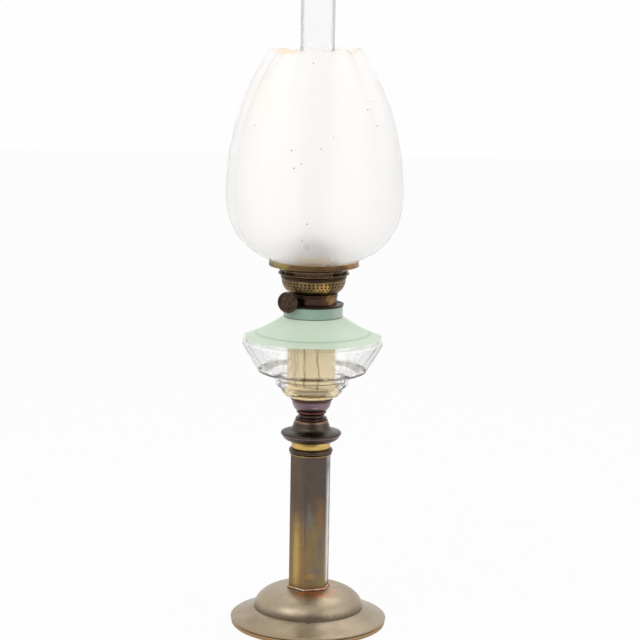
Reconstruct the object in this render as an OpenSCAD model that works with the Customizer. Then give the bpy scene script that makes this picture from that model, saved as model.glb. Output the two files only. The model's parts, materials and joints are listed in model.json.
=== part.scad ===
// Kerosene table lamp: a spun brass foot and six-sided column carry a pressed glass font,
// a round-wick burner, a tall chimney and a lobed glass shade.
// Origin at the centre of the base's underside, +Z up, the front faces -Y. Millimetres.

/* [Base] */
// Radius of the foot over its rim
base_r = 90; // [84:1:98]
// Height of the upright rim
rim_h = 8.6; // [7.5:0.1:10]
// Radius of the dome where the flange meets it
dome_r = 63; // [58:1:68]
// Height of the dome's foot above the table
dome_z = 19.5; // [17:0.5:22]
// Rise of the dome from its foot to the column
dome_rise = 24; // [21:0.5:28]
// Thickness of the spun sheet of the foot
sheet_t = 1.1; // [0.9:0.1:1.4]
// Width of the turned-in ring that stands on the table
foot_w = 7; // [5:0.5:9]
// Height of the cast iron weight inside the dome
weight_h = 17; // [14:0.5:19]

/* [Column] */
// Radius of the six-sided column over its corners
column_r = 24.2; // [22:0.2:26]
// Length of the column
column_len = 157.5; // [140:0.5:180]
// Wall of the column tube
column_wall = 1.2; // [1:0.1:1.6]
// Turn of the column's corners about the axis, in degrees
column_turn = 18; // [0:1:60]
// Width of the flat ring round the column's foot
collar_w = 2.3; // [1.8:0.1:3]
// Height of the flat ring round the column's foot
collar_h = 2.6; // [2:0.1:3.4]
// Thickness of the plugs inside the column's ends
plug_t = 4; // [3:0.5:6]
// Radius of the tie rod
rod_r = 4; // [3:0.5:5]
// Radius of the tie rod's nuts over their corners
nut_r = 7.5; // [7:0.1:8]
// Height of the tie rod's nuts
nut_h = 5; // [4:0.5:5.5]
// Radius of the tie rod's washer
washer_r = 14; // [11:0.5:18]
// Thickness of the tie rod's washer
washer_t = 2; // [1.5:0.5:3]

/* [Knop] */
// Radius of the round ring on top of the column
ring_r = 25.2; // [24.5:0.1:26]
// Height of the round ring on top of the column
ring_h = 7.6; // [6.5:0.1:8.5]
// Radius of the plain neck band
neck_r = 22.3; // [21.5:0.1:23]
// Height of the plain neck band
neck_h = 7.9; // [6:0.1:10]
// Wall of the neck band, the knop and the cup
turned_wall = 1.3; // [1:0.1:1.6]
// Radius of the knop's disc
knop_r = 34.7; // [32:0.1:37]
// Height of the knop
knop_h = 24.9; // [23:0.1:28]
// Radius of the knop's bell at its top
bell_r = 19; // [18.6:0.1:19.6]
// Radius of the beads of the waist
bead_r = 18; // [17.4:0.1:18.6]
// Radius of the waist at its narrowest
waist_r = 14.7; // [13.5:0.1:15.5]
// Height of the waist
waist_h = 10.8; // [9.5:0.1:13]

/* [Font cup] */
// Radius of the cup under its lip
cup_r = 22.8; // [22.4:0.1:23.6]
// Radius of the cup's floor outside
cup_foot_r = 15.4; // [14.8:0.1:16]
// Height of the cup
cup_h = 15; // [14.6:0.1:16]
// Thickness of the cup's floor
cup_floor = 3; // [2.5:0.1:3.2]

/* [Glass font] */
// Radius of the font's panelled shoulder over its corners
font_r = 82.3; // [78:0.1:88]
// Number of flat panels round the font
panels = 12; // [10:2:12]
// Radius of the panels' lower edge over its corners
panel_foot_r = 62.7; // [60:0.1:66]
// Height of the panels
panel_h = 31; // [27:0.5:35]
// Height of the stepped part below the panels
steps_h = 31.8; // [31:0.1:34]
// Radius of the middle step
step_r = 41.6; // [40:0.1:44]
// Radius of the lowest step
low_step_r = 35.4; // [33.5:0.1:37]
// Radius of the cone on the font's top at its foot
cone_r = 62.8; // [60:0.1:66]
// Height of the cone
cone_h = 17.4; // [15:0.1:21]
// Hollow of the cone's side, 1 is straight
cone_bow = 1.12; // [1:0.01:1.3]
// Wall of the font's glass
glass_wall = 3.2; // [2.6:0.1:3.8]
// Radius of the peg that is cemented into the cup
peg_r = 19; // [17.5:0.1:19.4]

/* [Collar] */
// Radius of the cemented collar
collar_r = 33.7; // [33.4:0.1:35]
// Height of the cemented collar
collar_top_h = 12.6; // [11:0.1:15]
// Wall of the cemented collar
collar_wall = 1.1; // [0.9:0.1:1.3]
// Outer radius of the glass neck inside the collar
glass_neck_r = 30.4; // [29.4:0.1:31]
// Radius of the burner's screw thread
thread_r = 22.6; // [22:0.1:23.2]

/* [Burner] */
// Radius of the drip flange
drip_r = 34.8; // [34.4:0.1:36]
// Thickness of the drip flange
drip_t = 2.2; // [1.8:0.1:2.6]
// Radius of the burner's neck
burner_r = 27; // [26.4:0.1:28]
// Height of the burner's neck
burner_neck_h = 12.4; // [12:0.1:14]
// Wall of the burner's sheet brass
burner_wall = 0.9; // [0.7:0.1:1.1]
// Radius of the pierced basket
basket_r = 36.5; // [35.5:0.1:38]
// Height of the pierced basket
basket_h = 16.4; // [15.4:0.1:18]
// Number of holes in each row of the basket
holes = 48; // [36:4:52]
// Half diagonal of the upper holes
hole_r = 1.3; // [0.9:0.05:1.5]
// Half diagonal of the lowest holes
low_hole_r = 1.0; // [0.7:0.05:1.2]
// Radius of the crown's sharp edge
crown_r = 40.5; // [39.8:0.1:42]
// Height of the crown
crown_h = 9.6; // [9:0.1:11]
// Outer radius of the wick tube
tube_r = 12.1; // [11.9:0.1:12.4]
// Wall of the wick tube and the draught tube
tube_wall = 0.6; // [0.5:0.05:0.7]
// Height of the wick tube's mouth above the crown
tube_rise = 29.4; // [27:0.2:33]
// Length of the wick tube below the drip flange
tube_drop = 12; // [11:0.5:14]
// Outer radius of the draught tube inside the wick
draught_r = 8.5; // [8.2:0.1:8.7]
// Height of the side duct of the draught tube
duct_h = 12; // [9:0.5:12.5]
// Width of the side duct of the draught tube
duct_w = 6; // [5.4:0.1:6.2]

/* [Wick winder] */
// Offset of the spindle from the lamp's axis
spindle_offset = 15; // [14.8:0.05:15.4]
// Radius of the spindle
spindle_r = 1.25; // [1.05:0.05:1.4]
// Swing of the knob to the left of the front, in degrees
knob_swing = 22; // [10:1:40]
// Radius of the toothed wheels over their teeth
wheel_r = 3.4; // [3.1:0.05:3.45]
// Teeth on each wheel
wheel_teeth = 8; // [6:1:10]
// Distance between the toothed wheels
wheel_gap = 4.4; // [3.6:0.2:5]
// Radius of the gland round the spindle
gland_r = 3.4; // [3:0.1:3.6]
// Radius of the knob's disc
knob_r = 12.1; // [10:0.1:12.4]
// Distance from the lamp's axis plane to the knob's disc
knob_reach = 38.4; // [38.2:0.1:42]
// Thickness of the knob's rolled edge
knob_t = 2.4; // [1.8:0.1:3]

/* [Wick] */
// Width of the flat wick
wick_w = 60; // [59:0.2:60.6]
// Thickness of the wick
wick_t = 2.4; // [2:0.1:2.5]
// Depth of the wick's top below the tube's mouth
wick_down = 1; // [0.5:0.5:3]
// Length of wick that hangs below the wick tube before it curls
wick_tail = 76; // [68:0.5:80]
// Radius of the curl at the wick's lower end
curl_r = 8; // [6:0.5:9]

/* [Chimney] */
// Outer radius of the chimney's foot
chimney_foot_r = 26; // [25.6:0.1:26.2]
// Height of the chimney's foot below its shoulder
chimney_foot_h = 24; // [21:0.5:27]
// Outer radius of the chimney at its waist
chimney_waist_r = 16.5; // [15.6:0.1:17.5]
// Height of the waist above the chimney's bottom edge
chimney_waist_z = 43; // [40:0.5:48]
// Outer radius of the chimney's tube
chimney_r = 19; // [18:0.1:20.5]
// Length of the chimney
chimney_len = 304; // [280:1:330]
// Wall of the chimney's glass
chimney_wall = 1.6; // [1.3:0.1:2]
// Length of the springs that grip the chimney
spring_len = 19; // [16:0.5:22]
// Number of springs that grip the chimney
springs = 12; // [8:1:16]

/* [Shade] */
// Radius of the ring that carries the shade
gallery_r = 51; // [50:0.1:52.5]
// Height of the ring that carries the shade
gallery_h = 6.3; // [5.5:0.1:8]
// Height of the ring's lower edge above the crown
gallery_rise = 5; // [4.6:0.1:6]
// Number of arms that carry the ring
arms = 4; // [3:1:5]
// Width of the arms that carry the ring
arm_w = 9; // [6:0.5:12]
// Radius of the shade at its belly
belly_r = 100.5; // [92:0.5:108]
// Height of the belly above the shade's neck
belly_z = 72; // [64:0.5:80]
// Radius of the shade's open mouth
mouth_r = 51.5; // [47:0.5:58]
// Height of the shade above its belly
upper_h = 164.5; // [150:0.5:180]
// Wall of the shade's glass
shade_wall = 3; // [2.4:0.1:3.4]
// Number of lobes round the shade
lobes = 9; // [7:1:10]
// Depth of the valleys between the lobes at the belly
valley_belly = 2.8; // [1.5:0.1:3.5]
// Depth of the valleys between the lobes at the mouth
valley_mouth = 5.2; // [3:0.1:6]
// Drop of the scalloped mouth at each valley
scallop = 4.6; // [2:0.1:6]
// Turn of the lobes about the axis, in degrees
lobe_turn = -97; // [-110:1:-80]

/* [Hidden] */
// Radial clearance of a screwed or soldered fit
fit_gap = 0.05;
// Radial clearance of the spindle in its bearings
run_gap = 0.06;
// Radial clearance of a rod in a plain hole, and of the burner's thread
loose_gap = 0.3;
// Clearance of a cast, cemented or soft piece
cast_gap = 1.2;
// Rounding of a sheet edge
edge_r = 1.2;
// Steps along a round stretch of an outline
arc_steps = 12;

rod_hole_r = rod_r + loose_gap;
seat_r = column_r + collar_w;
base_top = dome_z + dome_rise;
weight_z = base_top - sheet_t - weight_h;
column_top = base_top + column_len;
column_bore = column_r - column_wall / cos(30);
ring_top = column_top + ring_h;
knop_z = ring_top + neck_h;
knop_top = knop_z + knop_h;
cup_z = knop_top + waist_h;
cup_top = cup_z + cup_h;
rod_bottom = weight_z - washer_t - nut_h - 3;
rod_top = cup_z + cup_floor + nut_h + 1;
peg_z = rod_top + 0.8;

panel_z = cup_top + steps_h;
shoulder_z = panel_z + panel_h;
flange_top = shoulder_z + 7;
cone_z = flange_top + 6.6;
glass_top = cone_z + cone_h;
collar_z = glass_top + 0.2;
collar_top = collar_z + collar_top_h;
glass_neck_bore = glass_neck_r - glass_wall;

drip_top = collar_top + drip_t;
neck_top = drip_top + burner_neck_h;
basket_top = neck_top + basket_h;
crown_top = basket_top + crown_h;
tube_top = crown_top + tube_rise;
tube_bottom = collar_top - tube_drop;
tube_bore = tube_r - tube_wall;
wick_r = (draught_r + tube_bore) / 2;
spindle_z = drip_top + 5;
duct_z = drip_top + 13.6;
duct_turn = 90 - knob_swing;
gallery_z = crown_top + gallery_rise;
gallery_top = gallery_z + gallery_h;
ledge_z = gallery_z + 1.8;
fitter_r = gallery_r - 1.6;
shade_neck_top = ledge_z + 6.4;
belly_top = shade_neck_top + belly_z;

$fn = 96;

// Points of an elliptic arc, counted from the outward radius
function arc_points(cr, cz, rr, rz, a0, a1, n = arc_steps) =
  [for (i = [0:n]) let (a = a0 + (a1 - a0) * i / n) [cr + rr * cos(a), cz + rz * sin(a)]];
// A smooth step from 0 to 1
function smooth(x) = let (c = min(1, max(0, x))) c * c * (3 - 2 * c);
function mix(a, b, u) = a + (b - a) * u;
function reversed(points) = [for (i = [len(points) - 1:-1:0]) points[i]];

module turned(points) rotate_extrude() polygon(points);
module tube(r, bore, h) difference() {
  cylinder(r = r, h = h);
  translate([0, 0, -1]) cylinder(r = bore, h = h + 2);
}
module six_sided(r, h) rotate([0, 0, column_turn]) cylinder(r = r, h = h, $fn = 6);

// The foot: a spun sheet with a dome, a sloping flange, an upright rim and a turned-in edge
function flange_z(r) = rim_h + (dome_z - rim_h) * pow((base_r - r) / (base_r - dome_r), 1.12);
function flange_points(r0, r1, drop) =
  [for (i = [0:8]) let (r = mix(r0, r1, i / 8)) [r, flange_z(r) - drop]];
function dome_points(inset, a0, a1) =
  arc_points(seat_r, dome_z, dome_r - seat_r - inset, dome_rise - inset, a0, a1, 20);
module base_shell() color([0.62, 0.56, 0.44]) turned(concat(
  [[rod_hole_r, base_top]],
  dome_points(0, 90, 0),
  flange_points(dome_r + 0.2, base_r - edge_r, 0),
  arc_points(base_r - edge_r, rim_h - edge_r, edge_r, edge_r, 60, 0, 5),
  arc_points(base_r - edge_r, edge_r, edge_r, edge_r, 0, -90, 6),
  [[base_r - foot_w, 0], [base_r - foot_w, sheet_t], [base_r - sheet_t - 1, sheet_t]],
  flange_points(base_r - sheet_t - 1, dome_r - sheet_t, sheet_t * 1.1),
  dome_points(sheet_t, 0, 90),
  [[rod_hole_r, base_top - sheet_t]]));

module base_weight() color([0.25, 0.24, 0.23]) let (
  inset = sheet_t + cast_gap,
  foot_a = asin((weight_z - dome_z) / (dome_rise - inset))) turned(concat(
    [[rod_hole_r, weight_z]],
    dome_points(inset, foot_a, 88),
    [[seat_r - 2, base_top - sheet_t], [rod_hole_r, base_top - sheet_t]]));

module hex_nut(z) translate([0, 0, z]) difference() {
  cylinder(r = nut_r, h = nut_h, $fn = 6);
  translate([0, 0, -1]) cylinder(r = rod_r + fit_gap, h = nut_h + 2);
}
module rod_washer() color("silver") translate([0, 0, weight_z - washer_t])
  tube(washer_r, rod_hole_r, washer_t);
module rod_nut() color("silver") hex_nut(weight_z - washer_t - nut_h);
module cup_nut() color("silver") hex_nut(cup_z + cup_floor);
module tie_rod() color("gray") translate([0, 0, rod_bottom])
  cylinder(r = rod_r, h = rod_top - rod_bottom);

// The six-sided column with its foot ring and the plugs that centre the rod
module foot_collar() color([0.55, 0.46, 0.32]) difference() {
  translate([0, 0, base_top]) six_sided(column_r + collar_w, collar_h);
  translate([0, 0, base_top - 1]) six_sided(column_r + fit_gap, collar_h + 2);
}
module column_tube() color([0.50, 0.42, 0.30]) difference() {
  translate([0, 0, base_top]) six_sided(column_r, column_len);
  translate([0, 0, base_top - 1]) six_sided(column_bore, column_len + 2);
}
module column_plug(z) color([0.5, 0.45, 0.35]) difference() {
  translate([0, 0, z]) six_sided(column_bore - fit_gap, plug_t);
  translate([0, 0, z - 1]) cylinder(r = rod_hole_r, h = plug_t + 2);
}
module column_foot_plug() column_plug(base_top);
module column_head_plug() column_plug(column_top - plug_t);

// The turned and spun pieces between the column and the glass
module column_ring() color([0.45, 0.33, 0.22]) turned(concat(
  [[neck_r - 4, column_top]],
  arc_points(ring_r - ring_h / 2, column_top + ring_h / 2, ring_h / 2, ring_h / 2, -90, 90),
  [[neck_r - 4, ring_top]]));
module neck_band() color([0.78, 0.62, 0.30]) translate([0, 0, ring_top])
  tube(neck_r, neck_r - turned_wall - 0.6, neck_h);

function knop_points(inset) = concat(
  arc_points(neck_r, knop_z + 8.2, knop_r - neck_r - 1.4 - inset, 8.2 - inset, -88, -22),
  arc_points(knop_r - 1.9, knop_z + 9, 1.9 - inset, 1.9 - inset, -40, 70, 6),
  arc_points(bell_r + 8.6, knop_z + 19.2, 6.7 + inset, 6.6 + inset, 268, 186),
  [[bell_r + 0.5 - inset, knop_z + knop_h - 2.4]]);
module knop() color([0.30, 0.22, 0.20]) turned(concat(
  [[neck_r - turned_wall - 0.4, knop_z]],
  knop_points(0),
  [[bell_r, knop_top - 0.5], [bell_r - 0.6, knop_top], [rod_hole_r, knop_top],
   [rod_hole_r, knop_top - turned_wall], [bell_r - turned_wall - 0.4, knop_top - turned_wall]],
  reversed(knop_points(turned_wall)),
  [[neck_r - turned_wall - 0.4, knop_z + turned_wall]]));

module waist_spool() color([0.34, 0.25, 0.22]) let (b = 1.5, m = knop_top + waist_h / 2) turned(concat(
  [[rod_hole_r, knop_top], [bead_r - b, knop_top]],
  arc_points(bead_r - b, knop_top + b, b, b, -80, 85, 8),
  arc_points(waist_r + 1.9, m, 1.9, m - knop_top - 2 * b - 0.2, 260, 100, 8),
  arc_points(bead_r - b - 0.8, cup_z - b, b, b, -85, 80, 8),
  [[bead_r - b - 0.8, cup_z], [rod_hole_r, cup_z]]));

// The spun cup that holds the font's peg in cement
function cup_wall_r(z, inset) = cup_foot_r
  + (cup_r - cup_foot_r - inset) * sqrt(1 - pow(min(1, (cup_top - 0.6 - z) / (cup_h - 0.6)), 2));
function cup_points(z0, z1, inset) =
  [for (i = [0:arc_steps]) let (z = mix(z0, z1, i / arc_steps)) [cup_wall_r(z, inset), z]];
module font_cup() color([0.38, 0.28, 0.26]) turned(concat(
  [[rod_hole_r, cup_z]],
  cup_points(cup_z, cup_top - 2.4, 0),
  arc_points(cup_r + 0.4, cup_top - edge_r, edge_r, edge_r, -80, 90, 8),
  cup_points(cup_top, cup_z + cup_floor, turned_wall),
  [[rod_hole_r, cup_z + cup_floor]]));
module cup_cement() color("ivory") turned(concat(
  [[nut_r + 0.5, cup_z + cup_floor]],
  cup_points(cup_z + cup_floor, cup_top - 0.8, turned_wall + fit_gap),
  [[peg_r + fit_gap, cup_top - 0.8], [peg_r + fit_gap, peg_z - 0.1],
   [nut_r + 0.5, peg_z - 0.1]]));

// The pressed glass font: round steps, twelve tapered panels, a flat shoulder and a cone
function cone_top_z(r) = cone_z + cone_h * pow((cone_r - r) / (cone_r - glass_neck_r - 3.4), cone_bow);
function cone_points(r0, r1, drop) =
  [for (i = [0:8]) let (r = mix(r0, r1, i / 8)) [r, cone_top_z(r) - drop]];
module panelled_band() let (
  rings = [[panel_foot_r, panel_z], [font_r - 1.1, shoulder_z], [font_r, shoulder_z + 3.2],
    [font_r - 1.8, flange_top], [cone_r - 3, flange_top + 7.2]],
  n = len(rings), m = panels) polyhedron(
    points = [for (p = rings, i = [0:m - 1]) let (a = 360 * (i + 0.5) / m)
      [p[0] * cos(a), p[0] * sin(a), p[1]]],
    faces = concat(band_faces(n, m, 0, true),
      [[for (i = [0:m - 1]) i], [for (i = [m - 1:-1:0]) (n - 1) * m + i]]));
module font_outside() {
  foot_r = panel_foot_r * cos(180 / panels) - 0.3;
  turned(concat(
    [[0, peg_z], [peg_r, peg_z], [peg_r, cup_top - 0.6]],
    [[cup_r - turned_wall - 0.8, cup_top]],
    arc_points(low_step_r - 13.3, cup_top + 11.4, 13.3, 11.2, -78, 0, 10),
    [[low_step_r + 0.4, cup_top + 12.8]],
    arc_points(step_r - 4, cup_top + 16.6, 4, 3.4, -80, 0, 6),
    [[step_r, cup_top + 21.2], [step_r + 1, cup_top + 22]],
    [[foot_r - 1.6, panel_z - 1.5], [foot_r, panel_z + 1], [foot_r, flange_top],
     [cone_r + 0.4, flange_top], [cone_r + 0.4, cone_z - 0.8]],
    cone_points(cone_r, glass_neck_r + 3.4, 0),
    [[glass_neck_r, glass_top + 0.2], [glass_neck_r, collar_top - collar_wall - 1.2],
     [0, collar_top - collar_wall - 1.2]]));
  panelled_band();
}
function panel_bore(r) = r * cos(180 / panels) - glass_wall;
module font_glass() color([0.75, 0.86, 0.78, 0.5]) let (w = glass_wall) difference() {
  font_outside();
  turned(concat(
    [[0, cup_top + 4], [low_step_r - 13, cup_top + 4.4]],
    arc_points(low_step_r - 13.3, cup_top + 12.4, 13.3 - w, 8, -80, 0, 6),
    [[low_step_r - w + 0.6, cup_top + 14.4]],
    arc_points(step_r - 4, cup_top + 18, 4 - w * 0.9, 2.4, -70, 0, 4),
    [[step_r - w, cup_top + 24.4], [panel_bore(panel_foot_r) - 1.5, panel_z + 1.6],
     [panel_bore(panel_foot_r), panel_z + 4], [panel_bore(font_r), shoulder_z + 0.5],
     [panel_bore(font_r) - 0.4, shoulder_z + 2.6], [panel_bore(font_r) - 3, shoulder_z + 3.6],
     [cone_r - 1.6, cone_z - 3.6]],
    cone_points(cone_r - w, glass_neck_bore + 3.6, w),
    [[glass_neck_bore, glass_top], [glass_neck_bore, collar_top + 1], [0, collar_top + 1]]));
}
module collar_cement() color("ivory") translate([0, 0, collar_z + 0.2])
  tube(collar_r - collar_wall - fit_gap, glass_neck_r + fit_gap,
    collar_top_h - collar_wall - 0.3);
module font_collar() color([0.42, 0.55, 0.50]) turned([
  [collar_r, collar_z], [collar_r, collar_top - 1.6], [collar_r + 0.4, collar_top - 1.2],
  [collar_r + 0.4, collar_top - 0.4], [collar_r, collar_top], [thread_r + loose_gap, collar_top],
  [thread_r + loose_gap, collar_top - 9], [thread_r + loose_gap + 1.2, collar_top - 9],
  [thread_r + loose_gap + 1.2, collar_top - collar_wall],
  [collar_r - collar_wall, collar_top - collar_wall], [collar_r - collar_wall, collar_z]]);

// The burner: screw foot and drip flange, neck, pierced basket and crown
module burner_thread() color([0.16, 0.12, 0.10]) turned(concat(
  [[thread_r - 1.2, collar_top - 10], [thread_r, collar_top - 10], [thread_r, collar_top]],
  arc_points(drip_r - drip_t / 2, collar_top + drip_t / 2, drip_t / 2, drip_t / 2, -90, 60, 8),
  [[drip_r - 4, drip_top], [tube_r + fit_gap, drip_top], [tube_r + fit_gap, collar_top],
   [thread_r - 1.2, collar_top]]));

module on_spindle(reach) translate([0, 0, spindle_z]) rotate([0, 0, -knob_swing])
  translate([-spindle_offset, -reach, 0]) rotate([90, 0, 0]) children();

module burner_neck() color([0.22, 0.17, 0.12]) difference() {
  let (b = 0.8, in_r = burner_r - burner_wall) turned(concat(
    [[in_r, drip_top], [burner_r, drip_top]],
    arc_points(burner_r, spindle_z + 4.4, b, b, -90, 90, 6),
    arc_points(burner_r, neck_top - b, b, b, -90, 90, 6),
    [[in_r, neck_top]]));
  on_spindle(15) cylinder(r = gland_r + fit_gap, h = 12);
}

basket_axis_r = burner_r - 5;
function basket_r_at(z, inset) = basket_axis_r + (basket_r - basket_axis_r - inset)
  * sqrt(1 - pow((basket_top - z) / (basket_h * 1.065 - inset), 2));
function basket_points(z0, z1, inset) =
  [for (i = [0:arc_steps]) let (z = mix(z0, z1, i / arc_steps)) [basket_r_at(z, inset), z]];
module hole_row(z, r, turn) for (i = [0:holes - 1]) rotate([0, 0, 360 * (i + turn) / holes])
  translate([basket_r_at(z, 0) - 4, 0, z]) rotate([0, 90, 0]) cylinder(r = r, h = 8, $fn = 4);
module burner_basket() color([0.36, 0.29, 0.18]) difference() {
  turned(concat(
    basket_points(neck_top, basket_top, 0),
    basket_points(basket_top, neck_top, burner_wall)));
  hole_row(basket_top - 3.4, hole_r, 0);
  hole_row(basket_top - 6.9, hole_r, 0);
  hole_row(basket_top - 10, low_hole_r, 0.5);
}
module crown() color([0.24, 0.19, 0.14]) let (b = 0.8, w = burner_wall) turned(concat(
  [[basket_r - w, basket_top], [basket_r, basket_top]],
  arc_points(basket_r + 0.1, basket_top + 1.2, b, b, -90, 90, 5),
  arc_points(basket_r + 0.4, basket_top + 3, b, b, -90, 90, 5),
  [[basket_r + 1, basket_top + 4], [crown_r, basket_top + 5.4], [crown_r, basket_top + 5.9],
   [crown_r - 2.2, crown_top - 0.4], [crown_r - 2.6, crown_top],
   [chimney_foot_r - 2.6, crown_top], [chimney_foot_r - 2.6, crown_top - w],
   [crown_r - 3.6, crown_top - w], [crown_r - 1.8, basket_top + 5.7],
   [basket_r - w + 0.4, basket_top + 4.2], [basket_r - w, basket_top + 3]]));

// The wick tube with its windows, and the draught tube with its side duct
module duct(grow, reach) rotate([0, 0, duct_turn])
  translate([0, -duct_w / 2 - grow, duct_z - grow]) cube([reach, duct_w + 2 * grow, duct_h + 2 * grow]);
module wheel_window() translate([0, 0, spindle_z]) rotate([0, 0, -knob_swing])
  translate([-tube_r - 2, -wheel_gap / 2 - 1.4, -3]) cube([6, wheel_gap + 2.8, 6]);
module wick_tube() color([0.55, 0.45, 0.28]) difference() {
  translate([0, 0, tube_bottom]) tube(tube_r, tube_bore, tube_top - tube_bottom);
  duct(fit_gap, tube_r + 5);
  wheel_window();
}
module draught_tube() color([0.50, 0.42, 0.28]) difference() {
  union() {
    translate([0, 0, duct_z - 1]) cylinder(r = draught_r, h = tube_top - duct_z);
    duct(0, tube_r + 0.4);
  }
  translate([0, 0, duct_z]) cylinder(r = draught_r - tube_wall, h = tube_top);
  duct(-0.5, tube_r + 5);
}

// The wick winder: gland and bearing on the burner, and the spindle with wheels and knob
gland_start = 18.5;
gland_end = 29.6;
bearing_at = 6.5 + wheel_gap / 2 - 2.2;
module spindle_gland() color([0.35, 0.28, 0.18]) on_spindle(gland_start) difference() {
  union() {
    cylinder(r = gland_r, h = gland_end - gland_start);
    translate([0, 0, gland_end - gland_start - 4]) cylinder(r = gland_r + 1, h = 4, $fn = 6);
  }
  translate([0, 0, -1]) cylinder(r = spindle_r + run_gap, h = 20);
}
module spindle_bearing() color([0.35, 0.28, 0.18]) difference() {
  on_spindle(-bearing_at - 1.6) translate([-3.2, -3.2, 0]) cube([9.4, 6.4, 1.6]);
  on_spindle(-bearing_at - 3) cylinder(r = spindle_r + run_gap, h = 6);
  translate([0, 0, spindle_z - 8]) cylinder(r = tube_r + fit_gap, h = 16);
}
module spindle() color([0.45, 0.40, 0.32]) on_spindle(-bearing_at - 2.6)
  cylinder(r = spindle_r, h = knob_reach + 1.1 + bearing_at + 2.6);
module star_wheel() difference() {
  union() {
    cylinder(r = wheel_r - 0.9, h = 1.2);
    for (i = [0:wheel_teeth - 1]) rotate([0, 0, 360 * i / wheel_teeth])
      translate([wheel_r - 1.2, -0.4, 0]) cube([1.2, 0.8, 1.2]);
  }
  translate([0, 0, -1]) cylinder(r = spindle_r + fit_gap, h = 4);
}
module wick_wheels() color([0.6, 0.5, 0.3]) for (side = [-1, 1])
  on_spindle(side * wheel_gap / 2 - 0.6) star_wheel();
module wick_knob() color([0.20, 0.15, 0.11]) on_spindle(gland_end + 0.4) let (
  hub = knob_reach - gland_end - 0.4, e = knob_t / 2) difference() {
    turned(concat(
      [[0, 0], [3, 0], [3, hub - 1], [3.8, hub]],
      [[knob_r - knob_t, hub]],
      arc_points(knob_r - e, hub + e - 0.2, e, e, -120, 150, 10),
      [[knob_r - knob_t - 0.4, hub + 1.4], [7.4, hub + 1.4], [7, hub + 1.9], [6.2, hub + 1.9],
       [5.8, hub + 1.4], [2.4, hub + 1.4], [1.6, hub + 2.2], [0, hub + 2.3]]));
    translate([0, 0, -1]) cylinder(r = spindle_r + fit_gap, h = hub + 1 + 1.2);
  }

// The springs that grip the chimney's foot
spring_foot = 3.6;
function spring_points(out) = [for (i = [0:10]) let (u = i / 10)
  [chimney_foot_r + loose_gap + out + 1.4 * (1 - sin(min(200 * u, 212 * u - 8))),
   crown_top + spring_foot + spring_len * u]];
module chimney_springs() color([0.40, 0.33, 0.20]) let (
  r = chimney_foot_r + loose_gap + 1.4, t = 0.7) difference() {
    turned(concat(
      [[r, crown_top], [r + 1.5, crown_top], [r + 1.5, crown_top + spring_foot - 0.6]],
      spring_points(t),
      reversed(spring_points(0))));
    for (i = [0:springs - 1]) rotate([0, 0, 360 * i / springs])
      translate([0, -1.1, crown_top + spring_foot + 0.8]) cube([r + 20, 2.2, spring_len * 2]);
  }

// The shade's carrier: a spider on the crown and the ring that the shade stands in
module shade_spider() color([0.36, 0.28, 0.18]) let (
  in_r = crown_r - 3, out_r = gallery_r - 6, rise = ledge_z - 3.2 - crown_top,
  slope = atan(rise / (out_r - in_r))) {
    translate([0, 0, crown_top]) tube(crown_r - 2.7, chimney_foot_r + 5, 1.2);
    translate([0, 0, ledge_z - 2.2]) tube(gallery_r - 1.1, out_r, 1.2);
    for (i = [0:arms - 1]) rotate([0, 0, 45 + 360 * i / arms])
      translate([in_r - 1.2, -arm_w / 2, crown_top]) rotate([0, -slope, 0])
        cube([(out_r - in_r) / cos(slope) + 2.2, arm_w, 1.2]);
  }
module shade_ring() color([0.46, 0.37, 0.20]) let (b = 0.9) turned(concat(
  [[gallery_r - 1, gallery_z], [gallery_r - b, gallery_z - 0.2]],
  arc_points(gallery_r - b, gallery_z + b - 0.2, b + 0.2, b, -80, 80, 6),
  [[gallery_r - 0.3, gallery_z + 2 * b], [gallery_r - 0.3, gallery_top - 0.6],
   [gallery_r, gallery_top - 0.4], [gallery_r, gallery_top], [gallery_r - 1, gallery_top],
   [gallery_r - 1, ledge_z], [gallery_r - 6, ledge_z], [gallery_r - 6, ledge_z - 1],
   [gallery_r - 1, ledge_z - 1]]));

// The chimney: a wide foot, a sharp waist over the flame and a long straight tube
function chimney_points(inset) = let (z0 = crown_top, fr = chimney_foot_r, wr = chimney_waist_r,
  wz = z0 + chimney_waist_z, fz = z0 + chimney_foot_h) concat(
    [[fr - inset, z0]],
    [for (i = [0:10]) let (u = i / 10)
      [mix(fr, wr, smooth(u)) - inset, mix(fz, wz - 2, u)]],
    [for (i = [0:8]) let (u = i / 8)
      [mix(wr, chimney_r, smooth(u)) - inset, mix(wz + 2, wz + 22, u)]],
    [[chimney_r - inset, z0 + chimney_len]]);
module chimney() color([0.85, 0.88, 0.88, 0.35]) turned(concat(
  chimney_points(0),
  reversed(chimney_points(chimney_wall))));

// The shade: a lobed tulip of frosted glass, round at its neck and scalloped at its mouth
around = 8 * lobes;
bowl_rows = 9;
upper_rows = 11;
rows = 1 + bowl_rows + upper_rows;
function shade_row(j) =
  j == 0 ? [fitter_r, ledge_z, 0, 0] :
  j <= bowl_rows ?
    let (u = pow((j - 1) / (bowl_rows - 1), 1.5))
    [mix(fitter_r, belly_r, sin(90 * pow(u, 0.62))), shade_neck_top + belly_z * u,
     valley_belly * smooth(u * 4), 0] :
    let (u = (j - bowl_rows) / upper_rows)
    [mix(belly_r, mouth_r, pow(u, 2.2)), belly_top + upper_h * u,
     mix(valley_belly, valley_mouth, pow(u, 1.5)), scallop * smooth((u - 0.7) / 0.3)];
function shade_normal(j) =
  let (a = shade_row(max(j - 1, 0)), b = shade_row(min(j + 1, rows - 1)),
    d = [b[0] - a[0], b[1] - a[1]]) [d[1], -d[0]] / norm(d);
function valley(a) = 1 - sqrt(pow(cos(lobes * (a - lobe_turn) / 2), 2) + 0.02);
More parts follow.
